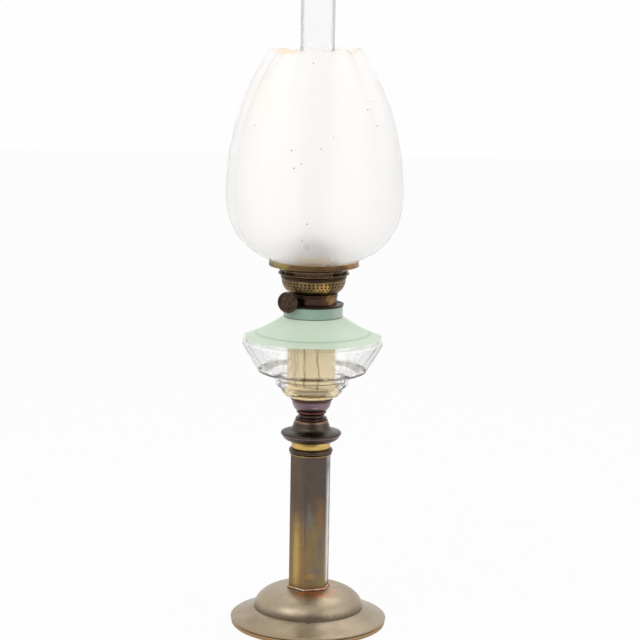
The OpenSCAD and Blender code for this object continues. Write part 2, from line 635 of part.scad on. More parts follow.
function shade_point(j, i, inset) =
  let (p = shade_row(j), n = j == 0 ? [1, 0] : shade_normal(j), a = 360 * i / around, v = valley(a),
    r = p[0] - p[2] * v - n[0] * inset)
  [r * cos(a), r * sin(a), p[1] - p[3] * v - n[1] * inset];
// Two quads of a closed grid, split into triangles
function band_faces(n, m, base, flip) = [for (j = [0:n - 2], i = [0:m - 1])
  let (a = base + j * m + i, b = base + j * m + (i + 1) % m, c = b + m, d = a + m)
  each flip ? [[a, c, b], [a, d, c]] : [[a, b, c], [a, c, d]]];
module shade() color([0.97, 0.93, 0.87, 0.8]) let (m = around, half = rows * around) polyhedron(
  points = concat(
    [for (j = [0:rows - 1], i = [0:m - 1]) shade_point(j, i, 0)],
    [for (j = [0:rows - 1], i = [0:m - 1]) shade_point(j, i, shade_wall)]),
  faces = concat(
    band_faces(rows, m, 0, true),
    band_faces(rows, m, half, false),
    [for (i = [0:m - 1]) let (k = (i + 1) % m, t = (rows - 1) * m)
      each [[t + i, t + half + k, t + k], [t + i, t + half + i, t + half + k],
        [i, k, half + k], [i, half + k, half + i]]]));

// The wick: a flat woven strip that is rolled into the tube, opens out below and curls at its end
wick_top = tube_top - wick_down;
narrow_z = duct_z + duct_h + 4;
roll_end = tube_bottom - 16;
curl_z = tube_bottom - wick_tail;
wick_len = wick_top - curl_z + 150 * curl_r * PI / 180;
wick_columns = 22;
// Distances from the wick's top at which its cross-sections stand
wick_steps = concat(
  [0, wick_top - narrow_z - 1, wick_top - narrow_z + 1.5, wick_top - narrow_z + 4],
  [for (i = [0:8]) wick_top - roll_end - 8 + 6 * i],
  [for (i = [1:14]) mix(wick_top - roll_end + 40, wick_len, i / 14)]);
function wick_curve(z) = mix(1 / wick_r, 1 / 60, smooth((roll_end - z) / 30));
function wick_width(z) = wick_w - 6.4 * smooth((narrow_z - z) / 4) * smooth((z - roll_end + 8) / 12);
function wick_point(s, w, h) = let (
  drop = wick_top - curl_z,
  z = wick_top - min(s, drop),
  turn = max(0, s - drop) / curl_r * 180 / PI,
  k = wick_curve(z),
  a = w * wick_width(z) / 2 * k * 180 / PI,
  thick = h * wick_t / 2,
  depth = wick_r - (1 - cos(a)) / k - curl_r * (1 - cos(turn)) + thick * cos(a) * cos(turn),
  side = sin(a) / k + thick * sin(a),
  q = -90 - knob_swing)
  [depth * cos(q) - side * sin(q), depth * sin(q) + side * cos(q),
   z - curl_r * sin(turn) - thick * cos(a) * sin(turn)];
module wick() color([0.80, 0.72, 0.52]) let (
  n = len(wick_steps) - 1, c = wick_columns, m = 2 * c + 2) polyhedron(
    points = [for (s = wick_steps, i = [0:m - 1]) let (
      w = i <= c ? 2 * i / c - 1 : 1 - 2 * (i - c - 1) / c,
      h = i <= c ? 1 : -1) wick_point(s, w, h)],
    faces = concat(
      band_faces(n + 1, m, 0, false),
      [for (i = [0:c - 1]) let (e = n * m)
        each [[i, m - 1 - i, m - 2 - i], [i, m - 2 - i, i + 1],
          [e + i, e + m - 2 - i, e + m - 1 - i], [e + i, e + i + 1, e + m - 2 - i]]]));

base_shell();
base_weight();
rod_washer();
rod_nut();
tie_rod();
foot_collar();
column_tube();
column_foot_plug();
column_head_plug();
column_ring();
neck_band();
knop();
waist_spool();
font_cup();
cup_nut();
cup_cement();
font_glass();
collar_cement();
font_collar();
burner_thread();
burner_neck();
burner_basket();
crown();
wick_tube();
draught_tube();
spindle_gland();
spindle_bearing();
chimney_springs();
shade_spider();
shade_ring();
spindle();
wick_wheels();
wick_knob();
wick();
chimney();
shade();
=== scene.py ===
# %% [markdown]
# # A kerosene lamp with a tulip shade
#
# The lamp stands on a spun brass foot. A six-sided column and a few turned rings carry a pressed
# glass font, and the burner on the font carries a chimney and a lobed shade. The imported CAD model
# is the frame: it fixes every size and every moving part, and this script dresses it.
# Each step says what the piece is, how it could be made, and why this way was chosen.

# %% Load the frame
import json
import math

import bmesh
import bpy
from mathutils import Matrix, Vector


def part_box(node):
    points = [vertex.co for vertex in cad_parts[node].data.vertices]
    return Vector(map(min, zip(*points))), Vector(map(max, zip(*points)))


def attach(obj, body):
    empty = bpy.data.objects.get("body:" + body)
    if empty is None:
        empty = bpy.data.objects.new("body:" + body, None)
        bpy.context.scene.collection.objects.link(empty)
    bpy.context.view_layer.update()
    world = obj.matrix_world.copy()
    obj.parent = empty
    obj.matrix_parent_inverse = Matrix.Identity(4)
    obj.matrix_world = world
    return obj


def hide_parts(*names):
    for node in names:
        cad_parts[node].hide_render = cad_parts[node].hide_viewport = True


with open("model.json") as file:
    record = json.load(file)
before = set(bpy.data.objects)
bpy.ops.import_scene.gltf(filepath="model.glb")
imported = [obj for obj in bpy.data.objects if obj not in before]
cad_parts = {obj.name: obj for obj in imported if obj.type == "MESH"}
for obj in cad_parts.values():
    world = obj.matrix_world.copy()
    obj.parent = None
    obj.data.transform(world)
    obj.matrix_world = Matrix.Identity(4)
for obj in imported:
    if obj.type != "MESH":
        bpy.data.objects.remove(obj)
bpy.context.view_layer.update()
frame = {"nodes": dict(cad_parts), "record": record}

# %% [markdown]
# ## Reading sizes from the frame
#
# Every new piece has to sit where the CAD node sits, so heights and radii are read from the
# node's box instead of being typed again. Outlines are easier to think about in millimetres.

# %% Heights and radii of a node, in millimetres
MM = 0.001


def low(node):
    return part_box(node)[0][2] / MM


def high(node):
    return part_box(node)[1][2] / MM


def reach(node):
    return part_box(node)[1][0] / MM


print("foot radius", round(reach("base_shell"), 1), "lamp height", round(high("chimney"), 1))

# %% [markdown]
# ## The camera
#
# The photograph was taken a little from above with a long lens, and the lamp leans by one degree
# in the picture. A long lens far away keeps the round rings as flat as they look in the picture.
# The lean belongs to the camera, so the camera is rolled and the lamp stays upright.

# %% Place the camera
LENS = 118.125
SENSOR = 36.0
CAMERA_AT = (0.00795, -2.3525, 0.757)
CAMERA_TILT = 80.34
CAMERA_ROLL = 1.01

lens = bpy.data.cameras.new("camera")
lens.lens = LENS
lens.sensor_width = SENSOR
camera = bpy.data.objects.new("camera", lens)
camera.matrix_world = (Matrix.Translation(CAMERA_AT)
                       @ Matrix.Rotation(math.radians(CAMERA_TILT), 4, "X")
                       @ Matrix.Rotation(math.radians(CAMERA_ROLL), 4, "Z"))
bpy.context.scene.collection.objects.link(camera)
bpy.context.scene.camera = camera
bpy.context.scene.view_settings.view_transform = "Standard"
print("camera at", CAMERA_AT, "with a", LENS, "mm lens")

# %% [markdown]
# ## Small helpers for shader nodes
#
# A material is a net of nodes. Adding a node and plugging its inputs takes several lines each
# time, so one helper does both: a value that is a socket is linked, and any other is typed in.
# Colours are written as a paint program shows them, and turned into the linear values that
# Blender calculates with.

# %% Colours and nodes


def tint(red, green, blue):
    def straight(value):
        value /= 255
        return value / 12.92 if value <= 0.04045 else ((value + 0.055) / 1.055) ** 2.4
    return (straight(red), straight(green), straight(blue), 1.0)


def add(tree, kind, inputs=None, **settings):
    node = tree.nodes.new("ShaderNode" + kind)
    for name, value in settings.items():
        setattr(node, name, value)
    for key, value in (inputs or {}).items():
        if isinstance(value, bpy.types.NodeSocket):
            tree.links.new(value, node.inputs[key])
        else:
            node.inputs[key].default_value = value
    return node


MIX_A, MIX_B, MIX_COLOUR = 6, 7, 2


def blended(tree, mask, under, over):
    node = add(tree, "Mix", {0: mask, MIX_A: under, MIX_B: over}, data_type="RGBA")
    return node.outputs[MIX_COLOUR]


def maths(tree, operation, *values):
    return add(tree, "Math", dict(enumerate(values)), operation=operation).outputs[0]


print("mid grey is", round(tint(128, 128, 128)[0], 3), "in linear light")

# %% [markdown]
# ## Light and room
#
# The lamp was photographed on a white sweep in soft light. Metal and glass show what is round
# them, so the world is white to the camera and through glass, but a mirror-like surface that
# faces the camera sees the darker room behind it. That keeps polished brass from going white.
# A ray that has passed through glass keeps the white room too, or the rims of the glass would
# turn black. Three lamps, each about two metres wide, model the forms with broad soft bands.
# Their power is low enough that white paint stays just under white.

# %% The world
ROOM_WHITE = tint(254, 254, 254)
FRONT_DARK = 0.30
AMBIENT = 0.60

world = bpy.data.worlds.new("white studio")
bpy.context.scene.world = world
world.use_nodes = True
sky = world.node_tree
sky.nodes.clear()
rays = add(sky, "LightPath")
compass = add(sky, "SeparateXYZ", {0: add(sky, "TexCoord").outputs["Generated"]})
front = add(sky, "MapRange", {"Value": compass.outputs["Y"], "From Min": -0.95, "From Max": -0.15,
                              "To Min": FRONT_DARK, "To Max": 1.0}, interpolation_type="SMOOTHSTEP")
mirrored = add(sky, "Mix", {0: rays.outputs["Is Glossy Ray"], 2: AMBIENT, 3: front.outputs[0]})
through = maths(sky, "MINIMUM", rays.outputs["Transmission Depth"], 1.0)
direct = maths(sky, "MAXIMUM", rays.outputs["Is Camera Ray"], through)
strength = add(sky, "Mix", {0: direct, 2: mirrored.outputs[0], 3: 1.0})
backdrop = add(sky, "Background", {"Color": ROOM_WHITE, "Strength": strength.outputs[0]})
add(sky, "OutputWorld", {"Surface": backdrop.outputs[0]})
print("ambient light", AMBIENT, "and dark front", FRONT_DARK)

# %% The soft lamps


def soft_lamp(name, at, size, watts):
    data = bpy.data.lights.new(name, "AREA")
    data.shape = "DISK"
    data.size = size
    data.energy = watts
    lamp = bpy.data.objects.new(name, data)
    aim = Vector((0, 0, 0.35)) - Vector(at)
    lamp.matrix_world = Matrix.Translation(at) @ aim.to_track_quat("-Z", "Y").to_matrix().to_4x4()
    bpy.context.scene.collection.objects.link(lamp)


soft_lamp("key", (-1.3, -1.5, 1.9), 2.2, 20)
soft_lamp("fill", (1.7, -1.2, 1.2), 2.0, 8)
soft_lamp("top", (0.3, 0.8, 2.3), 2.0, 12)
print("three soft lamps")

# %% The floor
FLOOR_SIZE = 12.0
FLOOR_GLOW = 0.96

floor_finish = bpy.data.materials.new("white sweep")
floor_finish.use_nodes = True
tree = floor_finish.node_tree
paper = tree.nodes["Principled BSDF"]
paper.inputs["Base Color"].default_value = tint(236, 236, 238)
paper.inputs["Roughness"].default_value = 0.9
rays = add(tree, "LightPath")
clear_view = maths(tree, "MAXIMUM", rays.outputs["Is Camera Ray"], rays.outputs["Is Transmission Ray"])
seen = maths(tree, "MAXIMUM", clear_view, rays.outputs["Is Glossy Ray"])
glow = add(tree, "Emission", {"Color": ROOM_WHITE, "Strength": 1.0})
share = maths(tree, "MULTIPLY", seen, FLOOR_GLOW)
paper_and_glow = add(tree, "MixShader", {0: share, 1: paper.outputs[0], 2: glow.outputs[0]})
tree.links.new(paper_and_glow.outputs[0], tree.nodes["Material Output"].inputs["Surface"])

floor_bm = bmesh.new()
bmesh.ops.create_grid(floor_bm, x_segments=1, y_segments=1, size=FLOOR_SIZE / 2)
floor_mesh = bpy.data.meshes.new("floor")
floor_bm.to_mesh(floor_mesh)
floor_bm.free()
floor_mesh.materials.append(floor_finish)
floor = bpy.data.objects.new("floor", floor_mesh)
bpy.context.scene.collection.objects.link(floor)
print("floor of", FLOOR_SIZE, "metres")

# %% [markdown]
# ## Turning on a lathe
#
# Nearly every part of the lamp was spun or turned, so the natural operator is spin: half an
# outline goes once round the axis. One helper closes the outline, spins it, merges the seam
# and points the faces outwards. Outlines are lists of radius and height, and round stretches
# are arcs. Sheet metal and glass get their wall from the outline itself, by stepping every
# point inwards along its normal, so that the wall has the same thickness everywhere.

# %% Outlines


def arc(centre_r, centre_z, radius_r, radius_z, start, end, steps=14):
    turn = [math.radians(start + (end - start) * i / steps) for i in range(steps + 1)]
    return [(centre_r + radius_r * math.cos(a), centre_z + radius_z * math.sin(a)) for a in turn]


def smooth(x):
    x = min(1.0, max(0.0, x))
    return x * x * (3 - 2 * x)


def mix(a, b, u):
    return a + (b - a) * u


def walled(outline, wall):
    inner = []
    for i, (r, z) in enumerate(outline):
        before, after = outline[max(i - 1, 0)], outline[min(i + 1, len(outline) - 1)]
        dr, dz = after[0] - before[0], after[1] - before[1]
        length = math.hypot(dr, dz)
        inner.append((r - dz / length * wall, z + dr / length * wall))
    return outline + inner[::-1]


print("a quarter circle has", len(arc(0, 0, 1, 1, 0, 90)), "points")

# %% Spin an outline


def turned(outline, steps=120, turn=0.0, closed=True):
    bm = bmesh.new()
    start = Matrix.Rotation(math.radians(turn), 3, "Z")
    points = [bm.verts.new(start @ Vector((r * MM, 0, z * MM))) for r, z in outline]
    ends = points[1:] + points[:1] if closed else points[1:]
    edges = [bm.edges.new(pair) for pair in zip(points, ends)]
    bmesh.ops.spin(bm, geom=points + edges, cent=(0, 0, 0), axis=(0, 0, 1), dvec=(0, 0, 0),
                   angle=math.tau, steps=steps, use_merge=True)
    bmesh.ops.remove_doubles(bm, verts=bm.verts, dist=1e-6)
    bmesh.ops.recalc_face_normals(bm, faces=bm.faces)
    return bm


def soften(bm, width, picked, segments=3):
    edges = [edge for edge in bm.edges if picked(edge)]
    bmesh.ops.bevel(bm, geom=edges, offset=width * MM, offset_type="OFFSET", affect="EDGES",
                    segments=segments, profile=0.5, material=-1)
    bmesh.ops.recalc_face_normals(bm, faces=bm.faces)


# %% Turn a finished mesh into a piece of the lamp


def piece(name, bm, body, stands_for, materials, crease=35):
    mesh = bpy.data.meshes.new(name)
    bm.to_mesh(mesh)
    bm.free()
    mesh.shade_smooth()
    mesh.set_sharp_from_angle(angle=math.radians(crease))
    for material in materials:
        mesh.materials.append(material)
    made = bpy.data.objects.new(name, mesh)
    bpy.context.scene.collection.objects.link(made)
    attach(made, body)
    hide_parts(*stands_for)
    print(name, "has", len(mesh.polygons), "faces")
    return made


# %% [markdown]
# ## Shared surface effects
#
# Old brass is never one colour: heat, oil and fingers leave clouds and patches, and the lathe
# leaves fine rings. These effects return on many pieces, so each is a node group that is built
# once. Mottle gives clouds, Patch gives one ragged spot at a place, Band gives a stretch of
# height, and Lathe gives the rings. A group only gives out a mask or a height. The shader
# itself stays in each material.

# %% Start and finish a node group


def new_group(name, inputs, output):
    group = bpy.data.node_groups.new(name, "ShaderNodeTree")
    for label, kind, value in inputs:
        socket = group.interface.new_socket(label, in_out="INPUT", socket_type="NodeSocket" + kind)
        socket.default_value = value
    group.interface.new_socket(output, in_out="OUTPUT", socket_type="NodeSocketFloat")
    entry = group.nodes.new("NodeGroupInput")
    return group, entry.outputs, group.nodes.new("NodeGroupOutput").inputs[0]


# %% Mottle: clouds of tarnish
mottle_group, given, result = new_group("Mottle", [
    ("Scale", "Float", 30.0), ("Stretch", "Vector", (1, 1, 1)), ("Seed", "Float", 0.0),
    ("From", "Float", 0.45), ("To", "Float", 0.6)], "Mask")
place = add(mottle_group, "TexCoord").outputs["Object"]
pulled = add(mottle_group, "VectorMath", {0: place, 1: given["Stretch"]}, operation="MULTIPLY")
clouds = add(mottle_group, "TexNoise", {
    "Vector": pulled.outputs[0], "W": given["Seed"], "Scale": given["Scale"], "Detail": 5.0,
    "Roughness": 0.6}, noise_dimensions="4D")
cut = add(mottle_group, "MapRange", {
    "Value": clouds.outputs[0], "From Min": given["From"], "From Max": given["To"]},
    interpolation_type="SMOOTHSTEP")
mottle_group.links.new(cut.outputs[0], result)

# %% Patch: one ragged spot at a place
patch_group, given, result = new_group("Patch", [
    ("Centre", "Vector", (0, 0, 0)), ("Size", "Vector", (0.01, 0.01, 0.01)),
    ("Edge", "Float", 0.5), ("Ragged", "Float", 0.5)], "Mask")
place = add(patch_group, "TexCoord").outputs["Object"]
offset = add(patch_group, "VectorMath", {0: place, 1: given["Centre"]}, operation="SUBTRACT")
scaled = add(patch_group, "VectorMath", {0: offset.outputs[0], 1: given["Size"]}, operation="DIVIDE")
distance = add(patch_group, "VectorMath", {0: scaled.outputs[0]}, operation="LENGTH").outputs["Value"]
rough = add(patch_group, "TexNoise", {"Vector": place, "Scale": 170.0, "Detail": 4.0})
torn = maths(patch_group, "MULTIPLY",
             maths(patch_group, "SUBTRACT", rough.outputs[0], 0.5), given["Ragged"])
total = maths(patch_group, "ADD", distance, maths(patch_group, "MULTIPLY", torn, 4.0))
fade = add(patch_group, "MapRange", {
    "Value": total, "From Min": 1.0, "From Max": maths(patch_group, "SUBTRACT", 1.0, given["Edge"])},
    interpolation_type="SMOOTHSTEP")
patch_group.links.new(fade.outputs[0], result)

# %% Band: a stretch of height
band_group, given, result = new_group("Band", [
    ("Low", "Float", 0.0), ("High", "Float", 0.1), ("Soft", "Float", 0.002)], "Mask")
height = add(band_group, "SeparateXYZ", {0: add(band_group, "TexCoord").outputs["Object"]}).outputs["Z"]
rise = maths(band_group, "DIVIDE", maths(band_group, "SUBTRACT", height, given["Low"]), given["Soft"])
fall = maths(band_group, "DIVIDE", maths(band_group, "SUBTRACT", given["High"], height), given["Soft"])
inside = add(band_group, "MapRange", {"Value": maths(band_group, "MINIMUM", rise, fall)},
             interpolation_type="SMOOTHSTEP")
band_group.links.new(inside.outputs[0], result)

# %% Lathe: fine rings left by turning and polishing
lathe_group, given, result = new_group("Lathe", [("Scale", "Float", 900.0)], "Height")
place = add(lathe_group, "SeparateXYZ", {0: add(lathe_group, "TexCoord").outputs["Object"]})
radius = maths(lathe_group, "SQRT", maths(
    lathe_group, "ADD", maths(lathe_group, "MULTIPLY", place.outputs[0], place.outputs[0]),
    maths(lathe_group, "MULTIPLY", place.outputs[1], place.outputs[1])))
profile = add(lathe_group, "CombineXYZ", {0: radius, 1: place.outputs["Z"]})
rings = add(lathe_group, "TexNoise", {
    "Vector": profile.outputs[0], "Scale": given["Scale"], "Detail": 2.0}, noise_dimensions="2D")
lathe_group.links.new(rings.outputs[0], result)

# %% Grain: small even roughness
grain_group, given, result = new_group("Grain", [("Scale", "Float", 400.0)], "Height")
specks = add(grain_group, "TexNoise", {
    "Vector": add(grain_group, "TexCoord").outputs["Object"], "Scale": given["Scale"], "Detail": 3.0})
grain_group.links.new(specks.outputs[0], result)
print("groups:", [group.name for group in bpy.data.node_groups])

# %% [markdown]
# ## Building a finish in coats
#
# A finish starts from one colour, and coats go over it, each through its own mask, as tarnish
# and wear really build up. A small class keeps the colour that has been reached so far, so a
# recipe reads from the metal outwards.

# %% The class Finish


class Finish:
    def __init__(self, name, colour, roughness, metallic=1.0):
        self.material = bpy.data.materials.new(name)
        self.material.use_nodes = True
        self.tree = self.material.node_tree
        self.shader = self.tree.nodes["Principled BSDF"]
        self.shader.inputs["Roughness"].default_value = roughness
        self.shader.inputs["Metallic"].default_value = metallic
        self.colour = colour

    def group(self, group, **values):
        node = add(self.tree, "Group", node_tree=group)
        for key, value in values.items():
            node.inputs[key].default_value = value
        return node.outputs[0]

    def mottle(self, scale, start, end, seed=0.0, stretch=(1, 1, 1)):
        return self.group(mottle_group, Scale=scale, From=start, To=end, Seed=seed, Stretch=stretch)

    def patch(self, centre, size, edge=0.5, ragged=0.5):
        return self.group(patch_group, Centre=[v * MM for v in centre],
                          Size=[v * MM for v in size], Edge=edge, Ragged=ragged)

    def band(self, start, end, soft=2.0):
        return self.group(band_group, Low=start * MM, High=end * MM, Soft=soft * MM)

    def both(self, one, other):
        return maths(self.tree, "MULTIPLY", one, other)

    def coat(self, mask, colour, strength=1.0):
        if strength < 1.0:
            mask = maths(self.tree, "MULTIPLY", mask, strength)
        self.colour = blended(self.tree, mask, self.colour, colour)
        self.tree.links.new(self.colour, self.shader.inputs["Base Color"])

    def dull(self, mask, shiny, matt):
        span = add(self.tree, "MapRange", {"Value": mask, "To Min": shiny, "To Max": matt})
        self.tree.links.new(span.outputs[0], self.shader.inputs["Roughness"])

    def bump(self, height, depth):
        node = add(self.tree, "Bump", {"Height": height, "Distance": depth * MM, "Strength": 0.6})
        self.tree.links.new(node.outputs[0], self.shader.inputs["Normal"])


print("a finish is built in coats")

# %% [markdown]
# ## The spun foot
#
# The foot was pressed over a form from thin brass sheet: a low dome, a hollow flange and an edge
# that is rolled round a wire. It could be lofted from circles, but the outline says everything:
# a quarter ellipse, a shallow curve and a bead. Below the flange's edge a narrow groove separates
# it from the bead, and the dark line along the groove is painted shade.

# %% Sizes of the foot
FOOT_R = reach("base_shell")
FOOT_H = high("base_shell")
SHEET = 1.1
DOME_R = 63.0
DOME_Z = 19.5
RIM = 8.6
ROD_HOLE = 4.3
HEX_REACH = math.cos(math.radians(18))
SEAT_R = reach("foot_collar") / HEX_REACH


def flange_z(r):
    return RIM + (DOME_Z - RIM) * ((FOOT_R - r) / (FOOT_R - DOME_R)) ** 1.12


# %% The finish of the foot


def satin_brass():
    brass = Finish("satin brass", tint(172, 157, 135), 0.4)
    brass.coat(brass.mottle(16, 0.42, 0.66, 1), tint(156, 140, 118), 0.7)
    brass.coat(brass.mottle(55, 0.55, 0.75, 2), tint(190, 176, 154), 0.4)
    brass.coat(brass.mottle(9, 0.5, 0.62, 3, (1, 1, 2)), tint(150, 130, 104), 0.5)
    shaded = brass.both(brass.patch((0, 0, 19.4), (400, 400, 11), 0.95, 0.1), brass.band(19.2, 60, 0.4))
    brass.coat(shaded, tint(92, 78, 60), 0.85)
    brass.coat(brass.patch((-64, -42, 15), (26, 20, 8), 0.8, 0.5), tint(140, 124, 100), 0.4)
    brass.coat(brass.patch((30, -72, 12), (24, 14, 6), 0.8, 0.4), tint(150, 132, 106), 0.4)
    brass.coat(brass.patch((2, -35, 42.5), (28, 12, 6), 0.6, 0.9), tint(204, 166, 140), 0.6)
    brass.coat(brass.patch((8, -32, 43), (20, 8, 5), 0.5, 1.2), tint(208, 136, 92), 0.8)
    brass.coat(brass.patch((29, -17, 43), (8, 12, 5), 0.6, 0.8), tint(200, 156, 126), 0.7)
    brass.coat(brass.patch((0, -64.5, 19), (2.2, 1.8, 1.6), 0.5, 0.4), tint(60, 132, 96))
    brass.coat(brass.band(-1, 5.9, 0.4), tint(158, 124, 76), 0.75)
    # painted shade: a dark line along the groove between the flange and the bead
    brass.coat(brass.band(5.8, 6.9, 0.3), tint(52, 40, 28), 0.9)
    brass.dull(brass.mottle(35, 0.35, 0.7, 4), 0.34, 0.5)
    brass.bump(brass.group(lathe_group, Scale=700.0), 0.05)
    return brass.material


# %% Spin the foot
bead = arc(FOOT_R - 3.7, 3.0, 2.9, 3.0, -90, 62)
groove = [(FOOT_R - 2.3, 6.2)]
edge_roll = arc(FOOT_R - 0.9, 7.5, 0.9, 0.9, -70, 60, 6)
flange = [(r, flange_z(r)) for r in (mix(FOOT_R - 1.2, DOME_R + 0.2, i / 14) for i in range(15))]
dome = arc(SEAT_R, DOME_Z, DOME_R - SEAT_R, FOOT_H - DOME_Z, 0, 88, 30)
skin = walled(flange + dome + [(ROD_HOLE, FOOT_H)], SHEET)
lining = [(FOOT_R - 5.4, 7.4), (FOOT_R - 5.4, SHEET), (FOOT_R - 7, SHEET), (FOOT_R - 7, 0.0)]
piece("spun_foot", turned(bead + groove + edge_roll + skin + lining, 160), "stand",
      ["base_shell"], [satin_brass()])

# %% [markdown]
# ## The six-sided column
#
# The column is a drawn tube with six flat sides, and a rolled six-sided lip hides its joint with
# the dome. Six-sided is a lathe shape too: spin takes six steps instead of many. The corners of
# drawn tube are never sharp, so they get a narrow bevel, which also catches the light. The heat
# of soldering left straw, red and blue tints in the lacquer, and they stay at fixed places.

# %% Corners that run along a six-sided piece
COLUMN_TURN = 18


def corner_edges(smallest):
    def picked(edge):
        a, b = (Vector(vert.co.xy) for vert in edge.verts)
        return min(a.length, b.length) > smallest * MM and abs(a.angle_signed(b)) < 0.01
    return picked


# %% The finish of the column


def tinted_brass():
    brass = Finish("heat tinted brass", tint(92, 82, 76), 0.3)
    brass.coat(brass.mottle(22, 0.35, 0.7, 5, (1, 1, 0.3)), tint(78, 70, 64), 0.7)
    brass.coat(brass.band(-30, 160, 75), tint(140, 122, 82), 0.9)
    brass.coat(brass.mottle(34, 0.42, 0.66, 5.5, (1, 1, 0.2)), tint(112, 94, 74), 0.6)
    brass.coat(brass.patch((-14, -16, 80), (15, 14, 70), 0.8, 0.12), tint(152, 112, 80), 0.75)
    brass.coat(brass.patch((-15, -15, 82), (8, 8, 62), 0.8, 0.15), tint(180, 156, 92), 0.9)
    brass.coat(brass.patch((-5, -23, 92), (4, 4, 60), 0.9, 0.15), tint(140, 106, 88), 0.6)
    brass.coat(brass.patch((-20, -10, 96), (5, 6, 62), 0.9, 0.15), tint(128, 104, 84), 0.6)
    brass.coat(brass.patch((-1, -22, 128), (6, 6, 20), 0.95, 0.2), tint(110, 118, 122), 0.7)
    brass.coat(brass.patch((12, -18, 132), (8, 6, 34), 0.95, 0.3), tint(138, 106, 76), 0.65)
    brass.coat(brass.patch((4, -20, 108), (10, 6, 26), 0.95, 0.3), tint(138, 120, 82), 0.6)
    brass.coat(brass.patch((13, -18, 96), (7, 7, 30), 0.95, 0.3), tint(118, 98, 108), 0.65)
    brass.coat(brass.patch((9, -19, 66), (12, 6, 16), 0.95, 0.3), tint(112, 100, 104), 0.55)
    brass.coat(brass.patch((2, -21, 60), (11, 6, 5), 0.9, 0.6), tint(170, 136, 78), 0.7)
    brass.coat(brass.patch((-5, -24, 128), (1.4, 1.4, 60), 0.8, 0.2), tint(64, 52, 56), 0.7)
    # painted reflection: a pale stripe down the right-hand side of the column
    brass.coat(brass.patch((21, -4.4, 108), (3.2, 7, 90), 0.4, 0.05), tint(214, 211, 207), 0.9)
    brass.coat(brass.mottle(190, 0.64, 0.72, 6), tint(176, 154, 108), 0.3)
    brass.coat(brass.mottle(160, 0.64, 0.72, 6.5), tint(62, 50, 44), 0.35)
    brass.dull(brass.mottle(60, 0.4, 0.7, 7), 0.24, 0.42)
    brass.bump(brass.mottle(45, 0.3, 0.8, 8, (1, 1, 0.2)), 0.12)
    return brass.material


# %% Spin the column and its lip in six steps
column_finish = tinted_brass()
COLUMN_R = reach("column_tube") / HEX_REACH
COLUMN_BORE = COLUMN_R - 1.4
column_bm = turned([(COLUMN_BORE, low("column_tube")), (COLUMN_R, low("column_tube")),
                    (COLUMN_R, high("column_tube")), (COLUMN_BORE, high("column_tube"))],
                   steps=6, turn=COLUMN_TURN)
soften(column_bm, 0.9, corner_edges(COLUMN_R - 0.5))
piece("six_sided_column", column_bm, "stand", ["column_tube"], [column_finish])

# %% The rolled lip at the column's foot
LIP = 1.3
lip_z = low("foot_collar") + LIP
lip_bm = turned([(COLUMN_R + 0.1, lip_z - LIP)] + arc(SEAT_R - LIP, lip_z, LIP, LIP, -90, 90, 8)
                + [(COLUMN_R + 0.1, lip_z + LIP - 0.4)], steps=6, turn=COLUMN_TURN)
soften(lip_bm, 1.4, corner_edges(COLUMN_R + 0.3))
lip_finish = Finish("soldered brass", tint(196, 178, 160), 0.38)
lip_finish.coat(lip_finish.mottle(70, 0.45, 0.6, 9), tint(196, 124, 76), 0.7)
lip_finish.coat(lip_finish.mottle(120, 0.55, 0.7, 10), tint(120, 98, 82), 0.6)
lip_finish.bump(lip_finish.group(grain_group, Scale=500.0), 0.1)
piece("column_lip", lip_bm, "stand", ["foot_collar"], [lip_finish.material])

# %% [markdown]
# ## The turned pieces above the column
#
# A round ring, a plain band, a knop with a wide disc, a waist and a cup stand on each other on a
# rod. Each was turned by itself, so each is its own spin with its own finish: the ring and the
# knop went dark brown, the band kept its gold, and the cup turned purple grey. Thin bright lines
# on the beads come from real round edges, not from paint.

# %% Finishes of the turned pieces


def patinated(name, colour, dark, light, shine, seed):
    brass = Finish(name, colour, shine)
    brass.coat(brass.mottle(30, 0.42, 0.62, seed, (1, 1, 2)), dark, 0.7)
    brass.coat(brass.mottle(90, 0.58, 0.76, seed + 0.5), light, 0.5)
    brass.dull(brass.mottle(50, 0.35, 0.7, seed + 1), shine, shine + 0.14)
    brass.bump(brass.group(lathe_group, Scale=1200.0), 0.03)
    return brass


# %% The ring and the band
ring_finish = patinated("brown ring brass", tint(88, 72, 62), tint(66, 54, 48),
                        tint(124, 98, 72), 0.26, 20)
ring_finish.coat(ring_finish.band(200, 202.2, 0.3), tint(190, 160, 104), 0.8)
RING_R = reach("column_ring")
ring_z = low("column_ring")
RING_LINE = 1.2
ring_half = (high("column_ring") - ring_z - RING_LINE) / 2
NECK_R = reach("neck_band")
piece("column_top_ring", turned(
    [(NECK_R - 4, ring_z)] + arc(RING_R - 1.6, ring_z + 0.6, 0.6, 0.6, -90, 70, 6)
    + arc(RING_R - ring_half, ring_z + RING_LINE + ring_half, ring_half, ring_half, -80, 90)
    + [(NECK_R - 4, high("column_ring"))]),
    "stand", ["column_ring"], [ring_finish.material])

band_finish = patinated("gold band brass", tint(214, 184, 108), tint(190, 156, 88),
                        tint(236, 212, 142), 0.26, 24)
band_finish.coat(band_finish.patch((-22, -4, 212), (8, 16, 9), 0.7), tint(196, 132, 104), 0.7)
band_finish.coat(band_finish.patch((22, -4, 212), (8, 16, 9), 0.7), tint(206, 146, 118), 0.7)
band_z, band_top = low("neck_band"), high("neck_band")
piece("gold_neck_band", turned([(NECK_R - 1.9, band_z), (NECK_R - 0.2, band_z), (NECK_R, band_z + 0.3),
                                (NECK_R, band_top - 0.3), (NECK_R - 0.2, band_top),
                                (NECK_R - 1.9, band_top)]),
      "stand", ["neck_band"], [band_finish.material])

